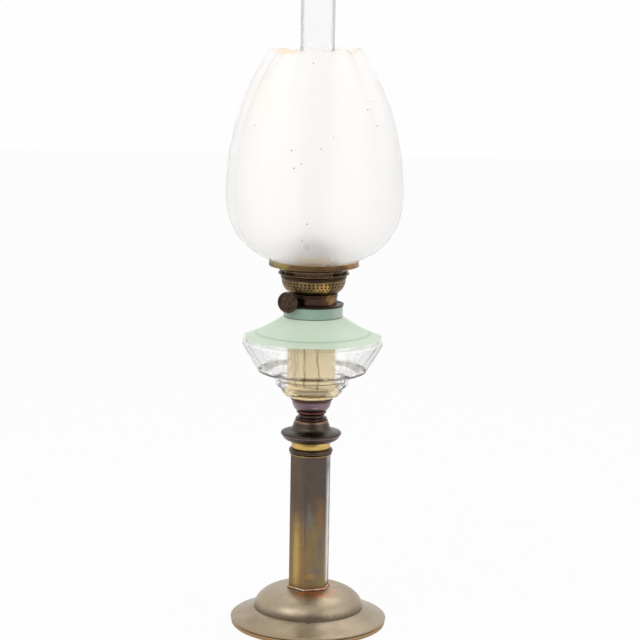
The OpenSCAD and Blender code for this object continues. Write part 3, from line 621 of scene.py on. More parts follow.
# %% The knop
KNOP_R = reach("knop")
WALL = 1.3
knop_z, knop_top = low("knop"), high("knop")
BELL_R = 19.0
knop_side = (arc(NECK_R, knop_z + 8.2, KNOP_R - NECK_R - 1.4, 8.2, -86, -22, 16)
             + arc(KNOP_R - 1.9, knop_z + 9, 1.9, 1.9, -40, 70, 8)
             + arc(BELL_R + 8.6, knop_z + 19.2, 6.7, 6.6, 266, 186, 16)
             + [(BELL_R + 0.5, knop_top - 2.4), (BELL_R, knop_top - 0.5),
                (BELL_R - 0.6, knop_top), (ROD_HOLE, knop_top)])
knop_finish = patinated("brown knop brass", tint(84, 74, 66), tint(68, 58, 52),
                        tint(106, 94, 80), 0.3, 30)
disc_z = knop_z + 9
knop_finish.coat(knop_finish.band(disc_z - 2.2, disc_z - 0.6, 0.5), tint(142, 120, 126), 0.7)
knop_finish.coat(knop_finish.band(knop_top - 3, knop_top + 1, 0.6), tint(150, 118, 100), 0.6)
piece("turned_knop", turned(walled(knop_side, WALL)), "stand", ["knop"],
      [knop_finish.material])

# %% The waist
BEAD_R = reach("waist_spool")
WAIST_R = 14.7
BEAD = 1.5
waist_z, waist_top = low("waist_spool"), high("waist_spool")
waist_middle = (waist_z + waist_top) / 2
waist_finish = patinated("brown waist brass", tint(88, 68, 62), tint(62, 50, 48),
                         tint(122, 92, 80), 0.26, 34)
waist_finish.coat(waist_finish.band(waist_top - 3, waist_top + 1, 0.5), tint(124, 78, 68), 0.7)
piece("turned_waist", turned(
    [(ROD_HOLE, waist_z), (BEAD_R - BEAD, waist_z)]
    + arc(BEAD_R - BEAD, waist_z + BEAD, BEAD, BEAD, -80, 85, 10)
    + arc(WAIST_R + 1.9, waist_middle, 1.9, waist_middle - waist_z - 2 * BEAD - 0.2, 260, 100, 12)
    + arc(BEAD_R - BEAD - 0.8, waist_top - BEAD, BEAD, BEAD, -85, 80, 10)
    + [(BEAD_R - BEAD - 0.8, waist_top), (ROD_HOLE, waist_top)]),
    "stand", ["waist_spool"], [waist_finish.material])

# %% The cup
CUP_R = 22.8
CUP_FOOT_R = 15.4
CUP_FLOOR = 3.0
CUP_LIP = 1.2
cup_z, cup_top = low("font_cup"), high("font_cup")


def cup_r(z, inset=0.0):
    rise = min(1.0, (cup_top - 0.6 - z) / (cup_top - cup_z - 0.6))
    return CUP_FOOT_R + (CUP_R - CUP_FOOT_R - inset) * math.sqrt(1 - rise * rise)


cup_outside = [(cup_r(z), z) for z in (mix(cup_z, cup_top - 2.4, i / 20) for i in range(21))]
cup_inside = [(cup_r(z, WALL), z) for z in (mix(cup_top, cup_z + CUP_FLOOR, i / 12) for i in range(13))]
cup_finish = patinated("purple cup brass", tint(138, 116, 126), tint(104, 86, 94),
                       tint(164, 138, 142), 0.24, 40)
cup_finish.coat(cup_finish.band(cup_top - 4.5, cup_top + 2, 1.0), tint(84, 62, 56), 0.9)
cup_finish.coat(cup_finish.patch((-19, -12, 259), (9, 12, 6), 0.7), tint(136, 142, 118), 0.7)
# painted highlight: a thin near-white streak on the front of the cup
cup_finish.coat(cup_finish.patch((4, -20.4, 258), (7, 1.5, 0.35), 0.6, 0.2), tint(220, 204, 196), 0.8)
piece("spun_cup", turned([(ROD_HOLE, cup_z)] + cup_outside
                         + arc(CUP_R + 0.4, cup_top - CUP_LIP, CUP_LIP, CUP_LIP, -80, 90, 10)
                         + cup_inside + [(ROD_HOLE, cup_z + CUP_FLOOR)]),
      "stand", ["font_cup"], [cup_finish.material])

# %% [markdown]
# ## The glass font
#
# The font is one piece of pressed glass: a bowl in two round steps, a belt of twelve flat
# panels, a shoulder and a hollow cone. A lathe gives the round parts, and the mould gives the
# flats, so the whole wall is spun first and then pressed: each point of the belt moves in to
# the flat between the two nearest corners. That keeps the glass one closed wall, which the
# light needs, because a ray must go into glass and out again in pairs.
# The shoulder and the cone are painted pale green outside. Paint and clear glass are different
# finishes, so the painted faces get their own material.

# %% Sizes of the font
PANELS = 12
PANEL_FOOT_R = 62.7
FONT_R = 82.3
CONE_R = 62.8
STEP_R = 41.6
LOW_STEP_R = 35.4
GLASS = 3.2
NECK_GLASS_R = 30.4
PEG_R = 19.0
PANEL_FLAT = math.cos(math.pi / PANELS)
panel_z = cup_top + 31.8
shoulder_z = panel_z + 31
flange_top = shoulder_z + 7
cone_z = flange_top + 6.6
glass_top = low("font_collar") - 0.2
COLLAR_TOP = high("font_collar")


def cone_outline(r0, r1, drop, steps=12):
    radii = [mix(r0, r1, i / steps) for i in range(steps + 1)]
    slope = [(CONE_R - r) / (CONE_R - NECK_GLASS_R - 3.4) for r in radii]
    return [(r, cone_z - drop + (glass_top - cone_z) * max(u, 0) ** 1.12) for r, u in zip(radii, slope)]


# %% Clear glass
#
# Light that only passes through, on its way to a shadow, is let straight through, so the glass
# throws a pale shadow. To the camera part of the glass is see-through as well, because old thin
# glass in a white room nearly disappears.


def clear_glass(name, colour, roughness, index, through, seen):
    glass = Finish(name, colour, roughness, metallic=0.0)
    glass.shader.inputs["Base Color"].default_value = colour
    glass.shader.inputs["Transmission Weight"].default_value = 1.0
    glass.shader.inputs["IOR"].default_value = index
    rays = add(glass.tree, "LightPath")
    soft = maths(glass.tree, "MAXIMUM", rays.outputs["Is Shadow Ray"], rays.outputs["Is Diffuse Ray"])
    shadow = add(glass.tree, "MapRange", {"Value": soft, "To Min": 1.0, "To Max": 1.0 - through})
    look = add(glass.tree, "MapRange", {
        "Value": rays.outputs["Is Camera Ray"], "To Min": 1.0, "To Max": seen})
    alpha = maths(glass.tree, "MULTIPLY", shadow.outputs[0], look.outputs[0])
    glass.tree.links.new(alpha, glass.shader.inputs["Alpha"])
    return glass, look


# %% The font's glass
#
# Each step and the foot of the panels is painted with a thin brown line, a painted shade for the
# dark edge that the refracting glass shows there, and the bowl is tinted amber towards its bottom.
FONT_SEEN = 0.3
font_glass, font_look = clear_glass("pressed glass", tint(254, 254, 253), 0.015, 1.15, 0.85, FONT_SEEN)
GLASS_LINES = [(panel_z - 2.6, panel_z + 1.2, 0.6, tint(112, 92, 70)),
               (cup_top + 20.6, cup_top + 22.4, 0.5, tint(124, 102, 76)),
               (cup_top + 11.8, cup_top + 13.8, 0.5, tint(112, 86, 56)),
               (cup_top - 2, cup_top + 11, 4.0, tint(228, 200, 130))]
shown = FONT_SEEN
for line_low, line_high, line_soft, line_tint in GLASS_LINES:
    line = font_glass.band(line_low, line_high, line_soft)
    font_glass.coat(line, line_tint, 0.85)
    shown = maths(font_glass.tree, "MAXIMUM", shown, maths(font_glass.tree, "MULTIPLY", line, 0.9))
font_glass.tree.links.new(shown, font_look.inputs["To Max"])
font_glass.bump(font_glass.mottle(28, 0.2, 0.8, 50), 0.2)

# %% The green paint on the font
font_paint = Finish("pale green paint", tint(212, 230, 207), 0.36, metallic=0.0)
font_paint.coat(font_paint.mottle(24, 0.45, 0.7, 51), tint(204, 223, 199), 0.5)
font_paint.coat(font_paint.mottle(240, 0.66, 0.74, 52), tint(228, 234, 216), 0.5)
font_paint.coat(font_paint.band(flange_top - 5.6, flange_top - 1.6, 0.7), tint(160, 190, 160), 0.7)
# painted shade: a darker green line in the corner where the cone meets the flange
font_paint.coat(font_paint.band(cone_z - 2.4, cone_z - 0.2, 0.6), tint(176, 202, 174), 0.7)
font_paint.dull(font_paint.mottle(60, 0.4, 0.7, 53), 0.3, 0.45)
font_paint.bump(font_paint.group(grain_group, Scale=160.0), 0.08)
print("the font has clear glass with", len(GLASS_LINES), "tinted bands, and green paint")

# %% Spin the font's wall
PEG_Z = low("font_glass")
foot_flat = PANEL_FOOT_R - 1.2
belt_outside = [(PANEL_FOOT_R, panel_z + 0.6), (FONT_R - 1.1, shoulder_z), (FONT_R - 0.2, shoulder_z + 1.4),
                (FONT_R, shoulder_z + 3.0), (FONT_R - 0.5, shoulder_z + 4.6),
                (FONT_R - 2.6, flange_top)]
font_outside = (
    [(0.0, PEG_Z), (PEG_R, PEG_Z), (PEG_R, cup_top - 0.6), (CUP_R - 2.1, cup_top)]
    + arc(LOW_STEP_R - 13.3, cup_top + 11.4, 13.3, 11.2, -78, 0, 14)
    + [(LOW_STEP_R + 0.3, cup_top + 12.6), (LOW_STEP_R + 0.9, cup_top + 13.1)]
    + arc(STEP_R - 4, cup_top + 16.6, 4, 3.4, -80, 0, 8)
    + [(STEP_R, cup_top + 21.2), (STEP_R + 0.4, cup_top + 21.8), (STEP_R + 1.4, cup_top + 22.2),
       (foot_flat - 1.6, panel_z - 1.9), (foot_flat, panel_z - 0.9)]
    + belt_outside
    + [(CONE_R + 6, flange_top + 3.9), (CONE_R + 1.6, flange_top + 5.2), (CONE_R, cone_z)]
    + cone_outline(CONE_R - 0.8, NECK_GLASS_R + 3.4, 0)
    + [(NECK_GLASS_R, glass_top + 0.2), (NECK_GLASS_R, COLLAR_TOP - 2.3)])
inner_foot = PANEL_FOOT_R * PANEL_FLAT - GLASS
inner_belt = FONT_R * PANEL_FLAT - GLASS
font_inside = (
    [(NECK_GLASS_R - GLASS, COLLAR_TOP - 2.3), (NECK_GLASS_R - GLASS, glass_top)]
    + cone_outline(NECK_GLASS_R - GLASS + 3.6, CONE_R - GLASS, GLASS)
    + [(CONE_R - 1.6, cone_z - 3.6), (inner_belt - 3, shoulder_z + 3.6),
       (inner_belt - 0.4, shoulder_z + 2.6), (inner_belt, shoulder_z + 0.5),
       (inner_foot, panel_z + 4), (inner_foot - 1.5, panel_z + 1.6), (STEP_R - GLASS, cup_top + 24.4)]
    + arc(STEP_R - 4, cup_top + 18, 1.1, 2.4, 0, -70, 6)
    + [(LOW_STEP_R - GLASS + 0.6, cup_top + 14.4)]
    + arc(LOW_STEP_R - 13.3, cup_top + 12.4, 13.3 - GLASS, 8, 0, -80, 10)
    + [(LOW_STEP_R - 13, cup_top + 4.4), (0.0, cup_top + 4)])
FONT_STEPS = PANELS * 12
font_bm = turned(font_outside + font_inside, FONT_STEPS, closed=False)

# %% Press the flat panels
PANEL_ANGLE = math.tau / PANELS


def press_flats(bm, bottom, top, inner):
    for vert in bm.verts:
        r = vert.co.xy.length
        if r > inner(vert.co.z / MM) * MM and bottom * MM <= vert.co.z <= top * MM:
            around = math.atan2(vert.co.y, vert.co.x) % PANEL_ANGLE - PANEL_ANGLE / 2
            flat = math.cos(PANEL_ANGLE / 2) / math.cos(PANEL_ANGLE / 2 - abs(around))
            vert.co.x *= flat
            vert.co.y *= flat


def belt_limit(z):
    rise = min(1.0, max(0.0, (z - panel_z) / (shoulder_z - panel_z)))
    return mix(PANEL_FOOT_R - 2, FONT_R - 4, rise)


press_flats(font_bm, panel_z + 0.5, flange_top + 0.1, belt_limit)


def painted(face):
    middle = face.calc_center_median() / MM
    outside = face.normal.z > 0.2 or middle.xy.length > CONE_R
    above = flange_top - 1.2 < middle.z < glass_top + 0.4
    return above and outside and middle.xy.length > NECK_GLASS_R + 0.2 and face.normal.z > 0


font_bm.normal_update()
for face in font_bm.faces:
    face.material_index = 1 if painted(face) else 0
print(sum(face.material_index for face in font_bm.faces), "painted faces")
piece("pressed_font", font_bm, "stand", ["font_glass"],
      [font_glass.material, font_paint.material], crease=16)

# %% [markdown]
# ## The collar and the burner's foot
#
# A thin brass collar is cemented on the glass neck and painted grey green. The burner screws
# into it, and its drip flange lies on top as a shallow dish with a thin raised rim. Both are
# spins of a sheet outline.

# %% The collar
COLLAR_R = reach("font_collar")
collar_z = low("font_collar")
THREAD_HOLE = 22.9
collar_paint = Finish("grey green paint", tint(146, 172, 156), 0.34, metallic=0.0)
# painted shade on the left side of the collar, and a painted sheen on its right side
collar_paint.coat(collar_paint.patch((-34, -8, 368), (26, 40, 30), 0.9, 0.2), tint(134, 160, 144), 0.8)
collar_paint.coat(collar_paint.patch((30, -18, 368), (16, 26, 30), 0.9, 0.2), tint(186, 196, 186), 0.7)
collar_paint.coat(collar_paint.mottle(130, 0.6, 0.72, 60), tint(120, 138, 126), 0.5)
# painted shadow: a dark line along the collar's foot, where it meets the glass
collar_paint.coat(collar_paint.band(collar_z - 1, collar_z + 1.0, 0.3), tint(84, 84, 72), 0.85)
collar_paint.dull(collar_paint.mottle(70, 0.4, 0.7, 61), 0.28, 0.42)
collar_paint.bump(collar_paint.group(grain_group, Scale=240.0), 0.06)
collar_side = ([(COLLAR_R - 0.5, collar_z), (COLLAR_R - 0.4, COLLAR_TOP - 2.0)]
               + arc(COLLAR_R - 0.6, COLLAR_TOP - 1.0, 0.6, 0.9, -60, 90, 6)
               + [(THREAD_HOLE, COLLAR_TOP)])
piece("painted_collar", turned(walled(collar_side, 1.0)), "stand", ["font_collar"],
      [collar_paint.material])

# %% The burner's screw foot and drip flange


def burner_brass(name, colour, seed, worn=0.45):
    brass = Finish(name, colour, 0.3)
    brass.coat(brass.mottle(40, 0.42, 0.62, seed), tint(62, 50, 42), 0.6)
    brass.coat(brass.mottle(120, 0.6, 0.72, seed + 0.5), tint(176, 132, 78), worn)
    brass.dull(brass.mottle(60, 0.35, 0.7, seed + 1), 0.26, 0.44)
    brass.bump(brass.group(grain_group, Scale=420.0), 0.06)
    return brass


DRIP_R = reach("burner_thread")
drip_top = high("burner_thread")
THREAD_R = 22.6
WICK_HOLE = 12.2
drip_brass = burner_brass("drip flange brass", tint(76, 60, 52), 62, 0.25)
piece("drip_flange", turned(
    [(THREAD_R - 1.2, COLLAR_TOP - 10), (THREAD_R, COLLAR_TOP - 10), (THREAD_R, COLLAR_TOP)]
    + [(DRIP_R - 2.2, COLLAR_TOP)] + arc(DRIP_R - 0.5, drip_top - 0.5, 0.5, 0.5, -50, 170, 10)
    + arc(DRIP_R - 3.0, COLLAR_TOP + 2.0, 1.9, 1.0, -10, -90, 6)
    + [(DRIP_R - 6, COLLAR_TOP + 1.1), (28.0, drip_top - 0.5), (27.2, drip_top), (WICK_HOLE, drip_top),
       (WICK_HOLE, COLLAR_TOP), (THREAD_R - 1.2, COLLAR_TOP)]),
    "burner", ["burner_thread"], [drip_brass.material])

# %% [markdown]
# ## The burner
#
# The burner is the finest work on the lamp. Its plain neck has two beads, the basket above it is
# pierced with rows of small diamond holes that let air in, and a ribbed crown closes it.
# The holes could be cut with booleans, one by one. It is much lighter to bevel the corner points
# of the spun surface: a bevelled point becomes a diamond, and the diamond is then deleted.
# The remaining lattice gets its thickness from a Solidify modifier.

# %% The neck
NECK_BEAD = 0.8
BURNER_R = reach("burner_neck") - NECK_BEAD
neck_foot, neck_top = low("burner_neck"), high("burner_neck")
neck_brass = burner_brass("burner neck brass", tint(78, 58, 48), 64, 0.3)
# painted highlight on the right side of the neck, and painted shade on its left front
neck_brass.coat(neck_brass.patch((20, -18, 382), (9, 12, 9), 0.7), tint(158, 122, 74), 0.75)
neck_brass.coat(neck_brass.patch((-14, -22, 382), (12, 12, 8), 0.8), tint(58, 46, 38), 0.6)
piece("burner_collar", turned(
    [(BURNER_R - 0.9, neck_foot), (BURNER_R, neck_foot)]
    + arc(BURNER_R, neck_top - 3.2, NECK_BEAD, NECK_BEAD, -90, 90, 8)
    + arc(BURNER_R, neck_top - NECK_BEAD, NECK_BEAD, NECK_BEAD, -90, 90, 8)
    + [(BURNER_R - 0.9, neck_top)]),
    "burner", ["burner_neck"], [neck_brass.material])

# %% The pierced basket
HOLES = 48
BASKET_WALL = 0.9
basket_top = high("burner_basket")
BASKET_R = reach("burner_basket")
BASKET_AXIS = BURNER_R - 5
ROWS = [(basket_top - 10.0, 1, 1.2), (basket_top - 6.9, 0, 1.55), (basket_top - 3.4, 0, 1.5)]


def basket_r(z):
    drop = (basket_top - z) / ((basket_top - neck_top) * 1.065)
    return BASKET_AXIS + (BASKET_R - BASKET_AXIS) * math.sqrt(1 - drop * drop)


heights = [mix(neck_top, basket_top - 11.8, i / 4) for i in range(5)]
heights += [row[0] for row in ROWS] + [basket_top - 1.2, basket_top]
basket_bm = turned([(basket_r(z), z) for z in heights], 2 * HOLES, closed=False)
for z, phase, half in ROWS:
    step = math.tau / (2 * HOLES)
    corners = [vert for vert in basket_bm.verts if abs(vert.co.z - z * MM) < 1e-5
               and round(math.atan2(vert.co.y, vert.co.x) / step) % 2 == phase]
    cut = bmesh.ops.bevel(basket_bm, geom=corners, offset=half * MM, offset_type="OFFSET",
                          affect="VERTICES", segments=1, profile=0.5, material=-1)
    bmesh.ops.delete(basket_bm, geom=cut["faces"], context="FACES")
    print(len(cut["faces"]), "diamonds at height", round(z, 1))
bmesh.ops.recalc_face_normals(basket_bm, faces=basket_bm.faces)
basket_brass = burner_brass("basket brass", tint(126, 104, 72), 66, 0.6)
# painted highlight: a bright gold patch on the front of the lower rows
basket_brass.coat(basket_brass.patch((12, -34, 396), (12, 10, 8), 0.7), tint(206, 166, 98), 0.7)
basket = piece("pierced_basket", basket_bm, "burner", ["burner_basket"],
               [basket_brass.material], crease=50)
basket_sheet = basket.modifiers.new("sheet", "SOLIDIFY")
basket_sheet.thickness = BASKET_WALL * MM
basket_sheet.offset = -1

# %% The crown
CROWN_R = reach("crown")
crown_z, crown_top = low("crown"), high("crown")
CHIMNEY_SEAT = 23.4
crown_brass = burner_brass("crown brass", tint(82, 66, 52), 68, 0.35)
crown_brass.coat(crown_brass.band(crown_z + 5.0, crown_z + 6.2, 0.3), tint(176, 140, 92), 0.6)
piece("ribbed_crown", turned(
    [(BASKET_R - 0.9, crown_z), (BASKET_R, crown_z)]
    + arc(BASKET_R + 0.1, crown_z + 1.2, 0.8, 0.8, -90, 90, 8)
    + arc(BASKET_R + 0.4, crown_z + 3, 0.8, 0.8, -90, 90, 8)
    + [(BASKET_R + 1, crown_z + 4), (CROWN_R - 0.2, crown_z + 5.3)]
    + arc(CROWN_R - 0.25, crown_z + 5.65, 0.25, 0.25, -60, 60, 4)
    + [(CROWN_R - 2.2, crown_top - 0.4), (CROWN_R - 2.6, crown_top), (CHIMNEY_SEAT, crown_top),
       (CHIMNEY_SEAT, crown_top - 0.9), (CROWN_R - 3.6, crown_top - 0.9),
       (CROWN_R - 1.8, crown_z + 5.7), (BASKET_R - 0.5, crown_z + 4.2),
       (BASKET_R - 0.9, crown_z + 3)]),
    "burner", ["crown"], [crown_brass.material])

# %% [markdown]
# ## The wick knob
#
# The knob stands on its spindle in front of the burner, turned a little to the left. It is
# easiest to spin it upright round the lamp's axis and then to lay it on the spindle with one
# matrix, which is worked out from the joint that turns it. Its face has a raised rim and worn,
# plain relief.

# %% The spindle's place, from the winder's joint
joints = {joint["name"]: joint for joint in frame["record"]["behaviour"]["joints"]}
spindle_at = Vector(joints["winder_turn"]["pos_m"])
spindle_way = Vector(joints["winder_turn"]["axis"]).normalized()
ON_SPINDLE = Matrix.Translation(spindle_at) @ spindle_way.to_track_quat("Z", "Y").to_matrix().to_4x4()
print("spindle at", [round(v, 4) for v in spindle_at])

# %% Spin the knob and lay it on the spindle
KNOB_R = 12.1
KNOB_START = 30.0
KNOB_FACE = 38.4
knob_outline = (
    [(0, KNOB_START), (3, KNOB_START), (3, KNOB_FACE - 1.4), (3.4, KNOB_FACE - 0.5), (4.2, KNOB_FACE),
     (KNOB_R - 2.4, KNOB_FACE)]
    + arc(KNOB_R - 1.2, KNOB_FACE + 1.0, 1.2, 1.2, -115, 165, 14)
    + [(KNOB_R - 2.9, KNOB_FACE + 1.35), (8.4, KNOB_FACE + 1.3), (8.0, KNOB_FACE + 1.75),
       (7.3, KNOB_FACE + 1.8), (6.9, KNOB_FACE + 1.35), (3.4, KNOB_FACE + 1.4), (2.8, KNOB_FACE + 2.1),
       (1.4, KNOB_FACE + 2.35), (0, KNOB_FACE + 2.4)])
knob_bm = turned(knob_outline, 72, closed=False)
bmesh.ops.transform(knob_bm, matrix=ON_SPINDLE, verts=knob_bm.verts)
knob_brass = burner_brass("knob brass", tint(88, 72, 62), 70, 0.5)
knob_brass.coat(knob_brass.mottle(210, 0.5, 0.6, 71), tint(60, 48, 42), 0.8)
knob_brass.coat(knob_brass.mottle(330, 0.58, 0.68, 72), tint(150, 128, 104), 0.6)
knob_brass.bump(knob_brass.mottle(230, 0.4, 0.62, 71), 0.5)
piece("wick_winder_knob", knob_bm, "winder", ["wick_knob"], [knob_brass.material])

# %% [markdown]
# ## The ring that carries the shade
#
# The ring is a strip of brass rolled into a channel: a bead below, a plain band and a thin lip.
# It is olive on the left and copper on the right, so both tints are patches at fixed
# places on the ring, and a cloudy coat alone would not put them there.

# %% The shade ring
CARRIER_R = reach("shade_ring")
carrier_z, carrier_top = low("shade_ring"), high("shade_ring")
LEDGE = low("shade")
carrier_brass = Finish("shade ring brass", tint(112, 88, 62), 0.3)
carrier_brass.coat(carrier_brass.mottle(40, 0.42, 0.62, 80), tint(86, 66, 50), 0.6)
carrier_brass.coat(carrier_brass.patch((-38, -32, 422), (20, 26, 12), 0.7, 0.3), tint(158, 144, 92), 0.85)
carrier_brass.coat(carrier_brass.patch((42, -26, 422), (12, 26, 12), 0.8, 0.3), tint(172, 128, 86), 0.7)
carrier_brass.coat(carrier_brass.band(carrier_top - 0.8, carrier_top + 1, 0.3), tint(186, 160, 108), 0.8)
carrier_brass.dull(carrier_brass.mottle(60, 0.35, 0.7, 81), 0.24, 0.42)
carrier_brass.bump(carrier_brass.group(lathe_group, Scale=900.0), 0.03)
piece("shade_carrier_ring", turned(
    [(CARRIER_R - 1, carrier_z + 0.1)] + arc(CARRIER_R - 0.9, carrier_z + 1.0, 0.9, 1.0, -80, 80, 8)
    + [(CARRIER_R - 0.4, carrier_z + 2.1), (CARRIER_R - 0.4, carrier_top - 0.9)]
    + arc(CARRIER_R - 0.5, carrier_top - 0.45, 0.5, 0.45, -60, 90, 5)
    + [(CARRIER_R - 1, carrier_top), (CARRIER_R - 1, LEDGE), (CARRIER_R - 6, LEDGE),
       (CARRIER_R - 6, LEDGE - 1), (CARRIER_R - 1, LEDGE - 1)]),
    "burner", ["shade_ring"], [carrier_brass.material])

# %% [markdown]
# ## The chimney
#
# The chimney is blown glass: a wide foot, a sharp waist that squeezes the air onto the flame and
# a long straight tube. The wall has to be real, because one skin of glass would bend the light
# only once. Its ends are melted round, so a bevel softens them.

# %% The chimney
CHIMNEY_FOOT_R = reach("chimney")
CHIMNEY_WAIST_R = 16.5
CHIMNEY_R = 19.0
CHIMNEY_WALL = 1.6
chimney_z, chimney_top = low("chimney"), high("chimney")
SHOULDER = chimney_z + 24
WAIST = chimney_z + 43
chimney_side = ([(CHIMNEY_FOOT_R, chimney_z)]
                + [(mix(CHIMNEY_FOOT_R, CHIMNEY_WAIST_R, smooth(i / 16)), mix(SHOULDER, WAIST - 2, i / 16))
                   for i in range(17)]
                + [(mix(CHIMNEY_WAIST_R, CHIMNEY_R, smooth(i / 12)), mix(WAIST + 2, WAIST + 22, i / 12))
                   for i in range(13)]
                + [(CHIMNEY_R, chimney_top)])
sharp = math.radians(50)
chimney_bm = turned(walled(chimney_side, CHIMNEY_WALL), 96)
soften(chimney_bm, 0.6, lambda edge: edge.calc_face_angle(0) > sharp)
chimney_glass, _ = clear_glass("blown glass", tint(250, 250, 251), 0.02, 1.15, 0.9, 0.35)
chimney_glass.bump(chimney_glass.mottle(18, 0.2, 0.8, 90), 0.1)
piece("glass_chimney", chimney_bm, "chimney", ["chimney"], [chimney_glass.material])

# %% [markdown]
# ## The tulip shade
#
# The shade was blown into a mould with nine lobes and then frosted with acid. A sculpted surface
# would be hard to keep regular. Spinning a plain tulip first and pressing the valleys in
# afterwards is what the mould did: every point moves towards the axis by a depth that
# grows from the neck to the mouth, and the mouth drops a little at each valley.

# %% Spin the plain tulip
SHADE_NECK_R = CARRIER_R - 1.6
BELLY_R = 100.5
MOUTH_R = 51.5
SHADE_WALL = 3.0
LOBES = 9
LOBE_TURN = -97
shade_z, shade_top = low("shade"), high("shade")
neck_end = shade_z + 6.4
belly_z = neck_end + 72
bowl = [(mix(SHADE_NECK_R, BELLY_R, math.sin(math.pi / 2 * u ** 0.62)), mix(neck_end, belly_z, u))
        for u in ((i / 24) ** 1.5 for i in range(25))]
cone = [(mix(BELLY_R, MOUTH_R, (i / 32) ** 2.2), mix(belly_z, shade_top, i / 32))
        for i in range(1, 33)]
shade_side = [(SHADE_NECK_R, shade_z)] + bowl + cone
shade_bm = turned(walled(shade_side, SHADE_WALL), LOBES * 20, turn=1)
soften(shade_bm, 1.1, lambda edge: edge.calc_face_angle(0) > sharp)

# %% Press the nine lobes
VALLEY_BELLY = 2.8
VALLEY_MOUTH = 5.2
SCALLOP = 4.6


def valley(angle):
    return 1 - math.sqrt(math.cos(LOBES * (angle - math.radians(LOBE_TURN)) / 2) ** 2 + 0.02)


for vert in shade_bm.verts:
    z = vert.co.z / MM
    if z < belly_z:
        depth = VALLEY_BELLY * smooth(4 * (z - neck_end) / (belly_z - neck_end))
        drop = 0.0
    else:
        rise = min(1.0, (z - belly_z) / (shade_top - belly_z))
        depth = mix(VALLEY_BELLY, VALLEY_MOUTH, rise ** 1.5)
        drop = SCALLOP * smooth((rise - 0.7) / 0.3)
    v = valley(math.atan2(vert.co.y, vert.co.x))
    inward = vert.co.xy.normalized() * depth * v * MM
    vert.co -= Vector((inward.x, inward.y, max(0.0, v) * drop * MM))
print("pressed", LOBES, "lobes")

# %% Frosted glass
#
# The acid left the glass matt and warm white. The rim and the foot are tinted amber, a grey spot on
# the front is painted shade where the burner inside darkens the glass, and small bubbles show as
# dark specks on the front.
SPECKS = [(62, 608), (56, 600), (67, 582), (19, 571), (6, 559), (-26, 557), (-23, 538), (-15, 543),
          (-67, 581), (-4, 649), (-8, 478), (-13, 459)]
SPECK = 0.95


def shade_front(x, z):
    for (r0, z0), (r1, z1) in zip(shade_side, shade_side[1:]):
        if z0 <= z <= z1:
            r = mix(r0, r1, (z - z0) / (z1 - z0))
            return (x, -math.sqrt(max(r * r - x * x, 0.0)), z)
    return (x, -MOUTH_R, z)


frost, _ = clear_glass("frosted glass", tint(252, 251, 250), 0.5, 1.25, 0.7, 1.0)
frost.shader.inputs["Transmission Weight"].default_value = 0.8
frost.coat(frost.mottle(5, 0.4, 0.7, 95, (1, 1, 0.4)), tint(254, 252, 248), 0.7)
frost.coat(frost.patch((-52, -30, 600), (50, 60, 60), 0.9, 0.2), tint(254, 249, 242), 0.6)
frost.coat(frost.patch((0, -70, 431), (44, 44, 9), 0.9, 0.5), tint(246, 222, 190), 0.8)
frost.coat(frost.band(shade_top - 8, shade_top + 2, 7), tint(254, 247, 238), 0.6)
frost.coat(frost.patch((-36, -36, shade_top - 3), (20, 36, 7), 0.8, 0.5), tint(250, 226, 196), 0.6)
frost.coat(frost.patch((38, -30, shade_top - 3), (12, 40, 7), 0.8, 0.5), tint(250, 226, 196), 0.6)
# painted shade: a grey spot on the front where the burner inside darkens the frosted glass
frost.coat(frost.patch(shade_front(-8, 450), (4, 8, 7), 0.8, 0.5), tint(230, 222, 214), 0.7)
for speck_x, speck_z in SPECKS:
    spot = frost.patch(shade_front(speck_x, speck_z), (SPECK, SPECK * 9, SPECK), 0.5, 0.3)
    frost.coat(spot, tint(96, 70, 46), 0.9)
frost.bump(frost.group(grain_group, Scale=260.0), 0.12)
piece("tulip_shade", shade_bm, "shade", ["shade"], [frost.material], crease=60)

# %% [markdown]
# ## The wick
#
# The wick is a flat strip of woven cotton. It is rolled round the draught tube inside the
# burner, opens out below it and hangs in the font, where its end curls. The cloth never folds
# or drapes freely, so no simulation is needed: a flat grid of the cut size is bent along its
# length, and its radius of bending grows from the tube to the font. The grid keeps its flat
# coordinates, and the weave and the dark guide stripes follow them.

# %% Where the wick bends
WICK_WIDE = 60.0
WICK_THICK = 2.2
ROLL_R = 10.0
OPEN_R = 60.0
CURL_R = 8.0
wick_top = high("wick")
tube_end = low("wick_tube")
curl_z = tube_end - 76
duct_low = drip_top + 25.6 + 4
WICK_LONG = wick_top - curl_z + math.radians(150) * CURL_R
wick_out = math.atan2(spindle_way.y, spindle_way.x)


def wick_bend(z):
    return mix(1 / ROLL_R, 1 / OPEN_R, smooth((tube_end - 3 - z) / 25))


def wick_span(z):
    return WICK_WIDE - 6.4 * smooth((duct_low - z) / 4) * smooth((z - tube_end + 11) / 12)


def bend_wick(across, along):
    fall = wick_top - curl_z
    z = wick_top - min(along, fall)
    curl = max(0.0, along - fall) / CURL_R
    bend = wick_bend(z)
    turn = across * wick_span(z) / 2 * bend
    depth = ROLL_R - (1 - math.cos(turn)) / bend - CURL_R * (1 - math.cos(curl))
    side = math.sin(turn) / bend
    return Vector((depth * math.cos(wick_out) - side * math.sin(wick_out),
                   depth * math.sin(wick_out) + side * math.cos(wick_out),
                   z - CURL_R * math.sin(curl))) * MM


# %% Bend the strip
wick_bm = bmesh.new()
wick_bm.loops.layers.uv.new("cloth")
bmesh.ops.create_grid(wick_bm, x_segments=48, y_segments=110, size=1, calc_uvs=True)
for vert in wick_bm.verts:
    vert.co = bend_wick(vert.co.x, (1 - vert.co.y) / 2 * WICK_LONG)
print("wick of", WICK_WIDE, "by", round(WICK_LONG, 1), "mm")

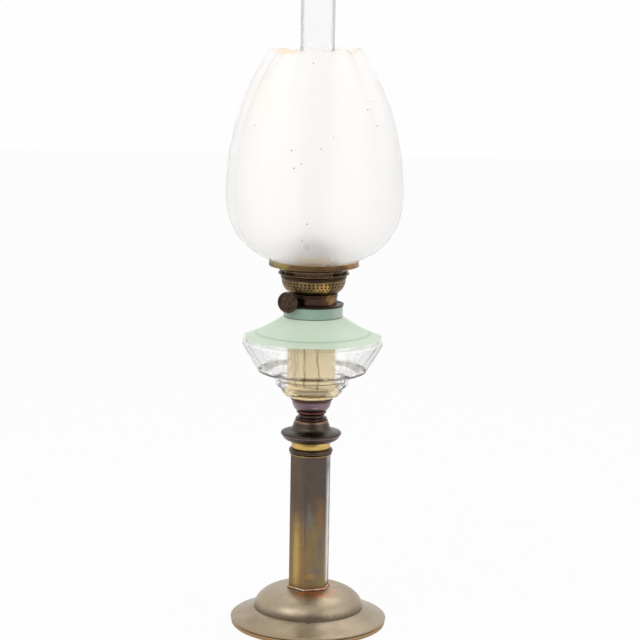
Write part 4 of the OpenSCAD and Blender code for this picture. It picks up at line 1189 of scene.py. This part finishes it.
# %% Woven cotton
cotton = Finish("wick cotton", tint(242, 221, 184), 0.85, metallic=0.0)
cloth = add(cotton.tree, "SeparateXYZ", {0: add(cotton.tree, "UVMap", uv_map="cloth").outputs[0]})
STRIPES = [(0.2, 0.05), (0.4, 0.03), (0.68, 0.08)]
STRIPE_HALF = 0.011
THREADS_WIDE = 46.0
THREADS_LONG = 120.0
waver = add(cotton.tree, "TexNoise", {
    "Vector": add(cotton.tree, "TexCoord").outputs["Object"], "Scale": 45.0, "Detail": 2.0})
wave = maths(cotton.tree, "SUBTRACT", waver.outputs[0], 0.5)
cotton.coat(cotton.mottle(60, 0.45, 0.65, 97), tint(228, 202, 160), 0.6)
for stripe_at, swing in STRIPES:
    shifted = maths(cotton.tree, "ADD", cloth.outputs["X"], maths(cotton.tree, "MULTIPLY", wave, swing * 4))
    away = maths(cotton.tree, "ABSOLUTE", maths(cotton.tree, "SUBTRACT", shifted, stripe_at))
    line = add(cotton.tree, "MapRange", {"Value": away, "From Min": STRIPE_HALF * 1.6,
                                         "From Max": STRIPE_HALF * 0.6})
    cotton.coat(line.outputs[0], tint(104, 74, 48), 0.85)


def thread(position, count):
    turns = maths(cotton.tree, "MULTIPLY", position, count * math.pi)
    return maths(cotton.tree, "ABSOLUTE", maths(cotton.tree, "SINE", turns))


weave = maths(cotton.tree, "MULTIPLY", thread(cloth.outputs["X"], THREADS_WIDE),
              thread(cloth.outputs["Y"], THREADS_LONG))
cotton.bump(weave, 0.5)
wick_piece = piece("woven_wick", wick_bm, "wick", ["wick"], [cotton.material])
wick_body = wick_piece.modifiers.new("cloth", "SOLIDIFY")
wick_body.thickness = WICK_THICK * MM
wick_body.offset = 0

# %% [markdown]
# ## The parts that stay from the CAD model
#
# The rod, its nuts, the weight, the plaster, the tubes and the springs keep their CAD shapes,
# because those shapes are right and hardly show. Each still gets the finish of its real
# material, so that nothing looks blank when the burner turns or the shade is lifted off.

# %% Finishes of the hidden parts


def dress(finish, *names):
    for name in names:
        for slot in frame["nodes"][name].material_slots:
            slot.material = finish.material


steel = Finish("dull steel", tint(176, 172, 166), 0.38)
steel.coat(steel.mottle(60, 0.5, 0.7, 100), tint(124, 110, 96), 0.6)
steel.bump(steel.group(grain_group, Scale=600.0), 0.05)
dress(steel, "rod_washer", "rod_nut", "cup_nut", "tie_rod", "spindle")

iron = Finish("cast iron", tint(72, 70, 68), 0.7, metallic=0.6)
iron.coat(iron.mottle(50, 0.5, 0.66, 101), tint(104, 72, 50), 0.6)
iron.bump(iron.group(grain_group, Scale=240.0), 0.5)
dress(iron, "base_weight")

plaster = Finish("plaster", tint(226, 220, 204), 0.9, metallic=0.0)
plaster.coat(plaster.mottle(70, 0.45, 0.65, 102), tint(204, 194, 172), 0.6)
plaster.bump(plaster.group(grain_group, Scale=300.0), 0.3)
dress(plaster, "cup_cement", "collar_cement")

tube_brass = Finish("dull tube brass", tint(96, 80, 56), 0.4)
tube_brass.coat(tube_brass.mottle(45, 0.45, 0.65, 103), tint(66, 54, 40), 0.7)
tube_brass.bump(tube_brass.group(grain_group, Scale=400.0), 0.05)
dress(tube_brass, "wick_tube", "draught_tube", "wick_wheels", "spindle_bearing",
      "column_foot_plug", "column_head_plug")

gland_brass = burner_brass("gland brass", tint(120, 96, 72), 104)
dress(gland_brass, "spindle_gland", "chimney_springs", "shade_spider")
print("dressed", len(frame["nodes"]), "nodes in all")
